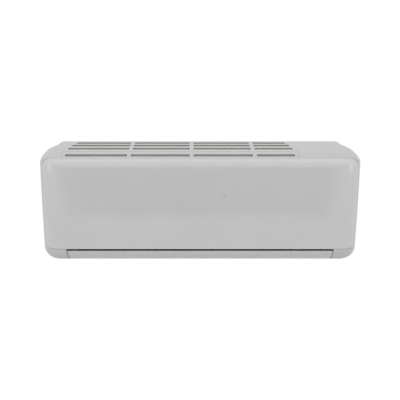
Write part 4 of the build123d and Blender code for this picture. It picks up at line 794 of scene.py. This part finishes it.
# ---------------------------------------------------------------- filters
@dataclass
class FilterNet:
    """The woven net of one filter: strands along the bent profile, crossed by straight ones.

    Attributes:
        side: left or right.
        left: X of the net's left edge in mm.
        right: X of its right edge in mm.
        profile: corners of the net's section as Y and Z, in mm.
        bends: radius at each inner corner in mm.
        pitch: distance between strands in mm, coarser than the real one so that it shows.
        strand: thickness of a strand in mm.
        run: length in mm of one straight run of a strand that follows the profile.
        arc_run: length in mm of one run on the line that rounds a corner.
        arc_least: the fewest such runs at a corner.
    """

    side: str
    left: float
    right: float
    profile: tuple[Span, ...]
    bends: tuple[float, ...]
    pitch: float = 2.4
    strand: float = 0.42
    run: float = 6.0
    arc_run: float = 3.0
    arc_least: int = 3

    def rounded(self) -> list[Vector]:
        """The profile with its inner corners rounded.

        Returns:
            Points as (0, Y, Z) in mm.
        """
        corners = [Vector((0.0, y, z)) for y, z in self.profile]
        line = [corners[0]]
        for before, corner, after, radius in zip(corners, corners[1:], corners[2:], self.bends):
            back = (before - corner).normalized()
            ahead = (after - corner).normalized()
            half = back.angle(ahead) / 2
            reach = radius / math.tan(half)
            middle = corner + (back + ahead).normalized() * (radius / math.sin(half))
            first = corner + back * reach - middle
            last = corner + ahead * reach - middle
            runs = max(self.arc_least, int(first.angle(last) * radius / self.arc_run))
            line += [middle + first.slerp(last, k / runs) for k in range(runs + 1)]
        return line + [corners[-1]]

    def points(self, step: float) -> list[Vector]:
        """Points at equal distances along the rounded profile.

        Args:
            step: that distance in mm.

        Returns:
            Points as (0, Y, Z) in mm.
        """
        line = self.rounded()
        spaced = [line[0]]
        carry = 0.0
        for a, b in zip(line, line[1:]):
            run = (b - a).length
            along = step - carry
            while along <= run:
                spaced.append(a.lerp(b, along / run))
                along += step
            carry = run - (along - step)
        return spaced

    def long_strands(self) -> Piece:
        """Models one strand along the profile by extruding its end, then repeats it across."""
        path = self.points(self.run)
        at = (self.left * MM, path[0].y * MM, path[0].z * MM)
        strand = start_from(bpy.ops.mesh.primitive_plane_add, size=self.strand * MM, location=at)
        settle(strand)
        open_mesh()
        for a, b in zip(path, path[1:]):
            bpy.ops.mesh.extrude_region_move(TRANSFORM_OT_translate={"value": tuple((b - a) * MM)})
        bpy.ops.mesh.select_all(action="SELECT")
        bpy.ops.mesh.normals_make_consistent(inside=False)
        close_mesh()
        repeat(strand, self.left, self.right, self.pitch)
        return strand

    def cross_strands(self) -> Piece:
        """Models one straight strand and copies it to each place along the profile."""
        path = self.points(self.pitch)
        first = path[0] * MM
        at = ((self.left + self.right) / 2 * MM, first.y, first.z)
        strand = start_from(bpy.ops.mesh.primitive_cube_add, size=1.0, location=at)
        thick = self.strand * MM
        strand.scale = ((self.right - self.left) * MM, thick, thick)
        settle(strand)
        open_mesh()
        for a, b in zip(path, path[1:]):
            bpy.ops.mesh.duplicate_move(TRANSFORM_OT_translate={"value": tuple((b - a) * MM)})
        close_mesh()
        return strand

    def build(self, wardrobe: Wardrobe) -> Piece:
        """Joins both sets of strands into one net.

        Args:
            wardrobe: the finishes.

        Returns:
            The net.
        """
        long_way = self.long_strands()
        cross_way = self.cross_strands()
        only(long_way)
        cross_way.select_set(True)
        bpy.ops.object.join()
        net = bpy.context.active_object
        net.name = f"net_{self.side}"
        settle(net)
        wardrobe.dress(net, "filter_net")
        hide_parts(f"filter_mesh_{self.side}")
        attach(net, f"filter_{self.side}")
        return net


# ---------------------------------------------------------------- studio
@dataclass
class Lamp:
    """A soft rectangular lamp that points at the unit.

    Attributes:
        name: its name.
        place: position in metres.
        size: width and height in metres.
        power: watts.
        target: the unit's middle, in metres.
    """

    name: str
    place: Point
    size: Span
    power: float
    target: Point = (0.0, -0.1, -0.02)

    def build(self) -> Piece:
        """Adds the lamp."""
        data = bpy.data.lights.new(self.name, "AREA")
        data.shape = "RECTANGLE"
        data.size, data.size_y = self.size
        data.energy = self.power
        lamp = bpy.data.objects.new(self.name, data)
        bpy.context.collection.objects.link(lamp)
        lamp.location = self.place
        aim = Vector(self.target) - Vector(self.place)
        lamp.rotation_euler = aim.to_track_quat("-Z", "Y").to_euler()
        return lamp


@dataclass
class Studio:
    """White floor, soft lamps and the camera at the photo's angle.

    Attributes:
        eye: camera position in metres.
        pitch: degrees that the camera looks down.
        lens: focal length in mm.
        sensor: width of the sensor in mm.
        shift_x: sideways shift of the frame.
        floor_middle: middle of the floor in metres.
        floor_size: width and depth of the floor in metres.
        sky: strength of the world's light.
        flag_y: Y of the dark card in metres, behind the camera.
        flag_box: left, right, bottom and top of the card in metres.
        lamps: the lamps.
    """

    eye: Point = (-0.025, -1.900, 0.495)
    pitch: float = 16.0
    lens: float = 64.37
    sensor: float = 36.0
    shift_x: float = 0.0247
    floor_middle: Point = (0.0, -1.0, -0.75)
    floor_size: float = 8.0
    sky: float = 0.80
    flag_y: float = -2.45
    flag_box: tuple[float, float, float, float] = (-0.75, 0.79, -0.75, -0.25)
    lamps: tuple[Lamp, ...] = (
        Lamp("top_softbox", place=(0.0, -0.5, 1.5), size=(2.2, 1.2), power=4.0),
        Lamp("left_softbox", place=(-1.8, -1.4, 0.5), size=(1.0, 1.6), power=7.0),
        Lamp("right_softbox", place=(1.8, -1.4, 0.5), size=(1.0, 1.6), power=7.0),
    )

    def camera(self) -> Piece:
        """Adds the camera and makes it the scene's."""
        data = bpy.data.cameras.new("camera")
        data.lens = self.lens
        data.sensor_width = self.sensor
        data.shift_x = self.shift_x
        camera = bpy.data.objects.new("camera", data)
        bpy.context.collection.objects.link(camera)
        camera.location = self.eye
        camera.rotation_euler = (math.radians(90.0 - self.pitch), 0.0, 0.0)
        bpy.context.scene.camera = camera
        return camera

    def world(self) -> None:
        """Lights the room evenly, and shows plain white wherever the background is seen."""
        world = bpy.data.worlds.new("room")
        bpy.context.scene.world = world
        world.use_nodes = True
        tree = world.node_tree
        tree.nodes.clear()
        room = add_node(tree, "ShaderNodeBackground", {"Color": WHITE, "Strength": self.sky})
        # a strength of 1 is white
        white = add_node(tree, "ShaderNodeBackground", {"Color": WHITE, "Strength": 1.0})
        mix = add_node(tree, "ShaderNodeMixShader", {0: seen_direct(tree), 1: room, 2: white})
        add_node(tree, "ShaderNodeOutputWorld", {"Surface": mix})

    def floor(self) -> Piece:
        """Adds the floor."""
        floor = start_from(bpy.ops.mesh.primitive_plane_add, size=self.floor_size,
                           location=self.floor_middle)
        floor.name = "floor"
        settle(floor)
        # matt paper: pale and without a highlight
        floor.data.materials.append(Backdrop("seam_paper", "#dcdcdc").material())
        return floor

    def flag(self) -> Piece:
        """Adds the low dark card behind the camera that darkens the middle of the gloss panel.

        Returns:
            The card, which only reflections see.
        """
        left, right, low, high = self.flag_box
        middle = ((left + right) / 2, self.flag_y, (low + high) / 2)
        card = start_from(bpy.ops.mesh.primitive_plane_add, size=1.0, location=middle,
                          rotation=(math.radians(90.0), 0.0, 0.0))
        card.name = "flag"
        card.scale = (right - left, high - low, 1.0)
        settle(card)
        # black felt: a dark, even patch in a reflection
        card.data.materials.append(Rubber("black_felt", "#0c0c0d").material())
        card.visible_camera = False
        card.visible_diffuse = False
        card.visible_shadow = False
        return card

    def build(self) -> None:
        """Sets up the whole studio."""
        bpy.context.scene.view_settings.view_transform = "Standard"
        self.camera()
        self.world()
        self.floor()
        self.flag()
        for lamp in self.lamps:
            lamp.build()


# ---------------------------------------------------------------- the unit
# a net runs up in front of the coil and bends back over its top
NET_PROFILE = ((-172.4, -54.8), (-172.4, 27.05), (-128.4, 88.0), (-53.2, 88.0))
NET_BENDS = (26.0, 9.0)


def main() -> None:
    """Builds the pieces in order and dresses everything."""
    logging.basicConfig(level=logging.INFO, format="%(message)s")
    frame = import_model()
    wardrobe = Wardrobe()
    wardrobe.dress_nodes(frame)
    LOG.info("dressed %d solids", len(frame["nodes"]))
    packs = (
        FinPack("coil_front_lower", centre=(-158.0, -30.5), length=71.0, lean=0.0),
        FinPack("coil_front_upper", centre=(-136.0, 46.0), length=74.0, lean=-35.0),
        FinPack("coil_rear", centre=(-65.0, 46.0), length=74.0, lean=35.0),
    )
    for pack in packs:
        LOG.info("built %s", pack.build(wardrobe).name)
    nets = (
        FilterNet("left", left=-340.0, right=-45.0, profile=NET_PROFILE, bends=NET_BENDS),
        FilterNet("right", left=-35.0, right=260.0, profile=NET_PROFILE, bends=NET_BENDS),
    )
    for net in nets:
        LOG.info("built %s", net.build(wardrobe).name)
    Studio().build()
    LOG.info("set up the studio")


if __name__ == "__main__":
    main()
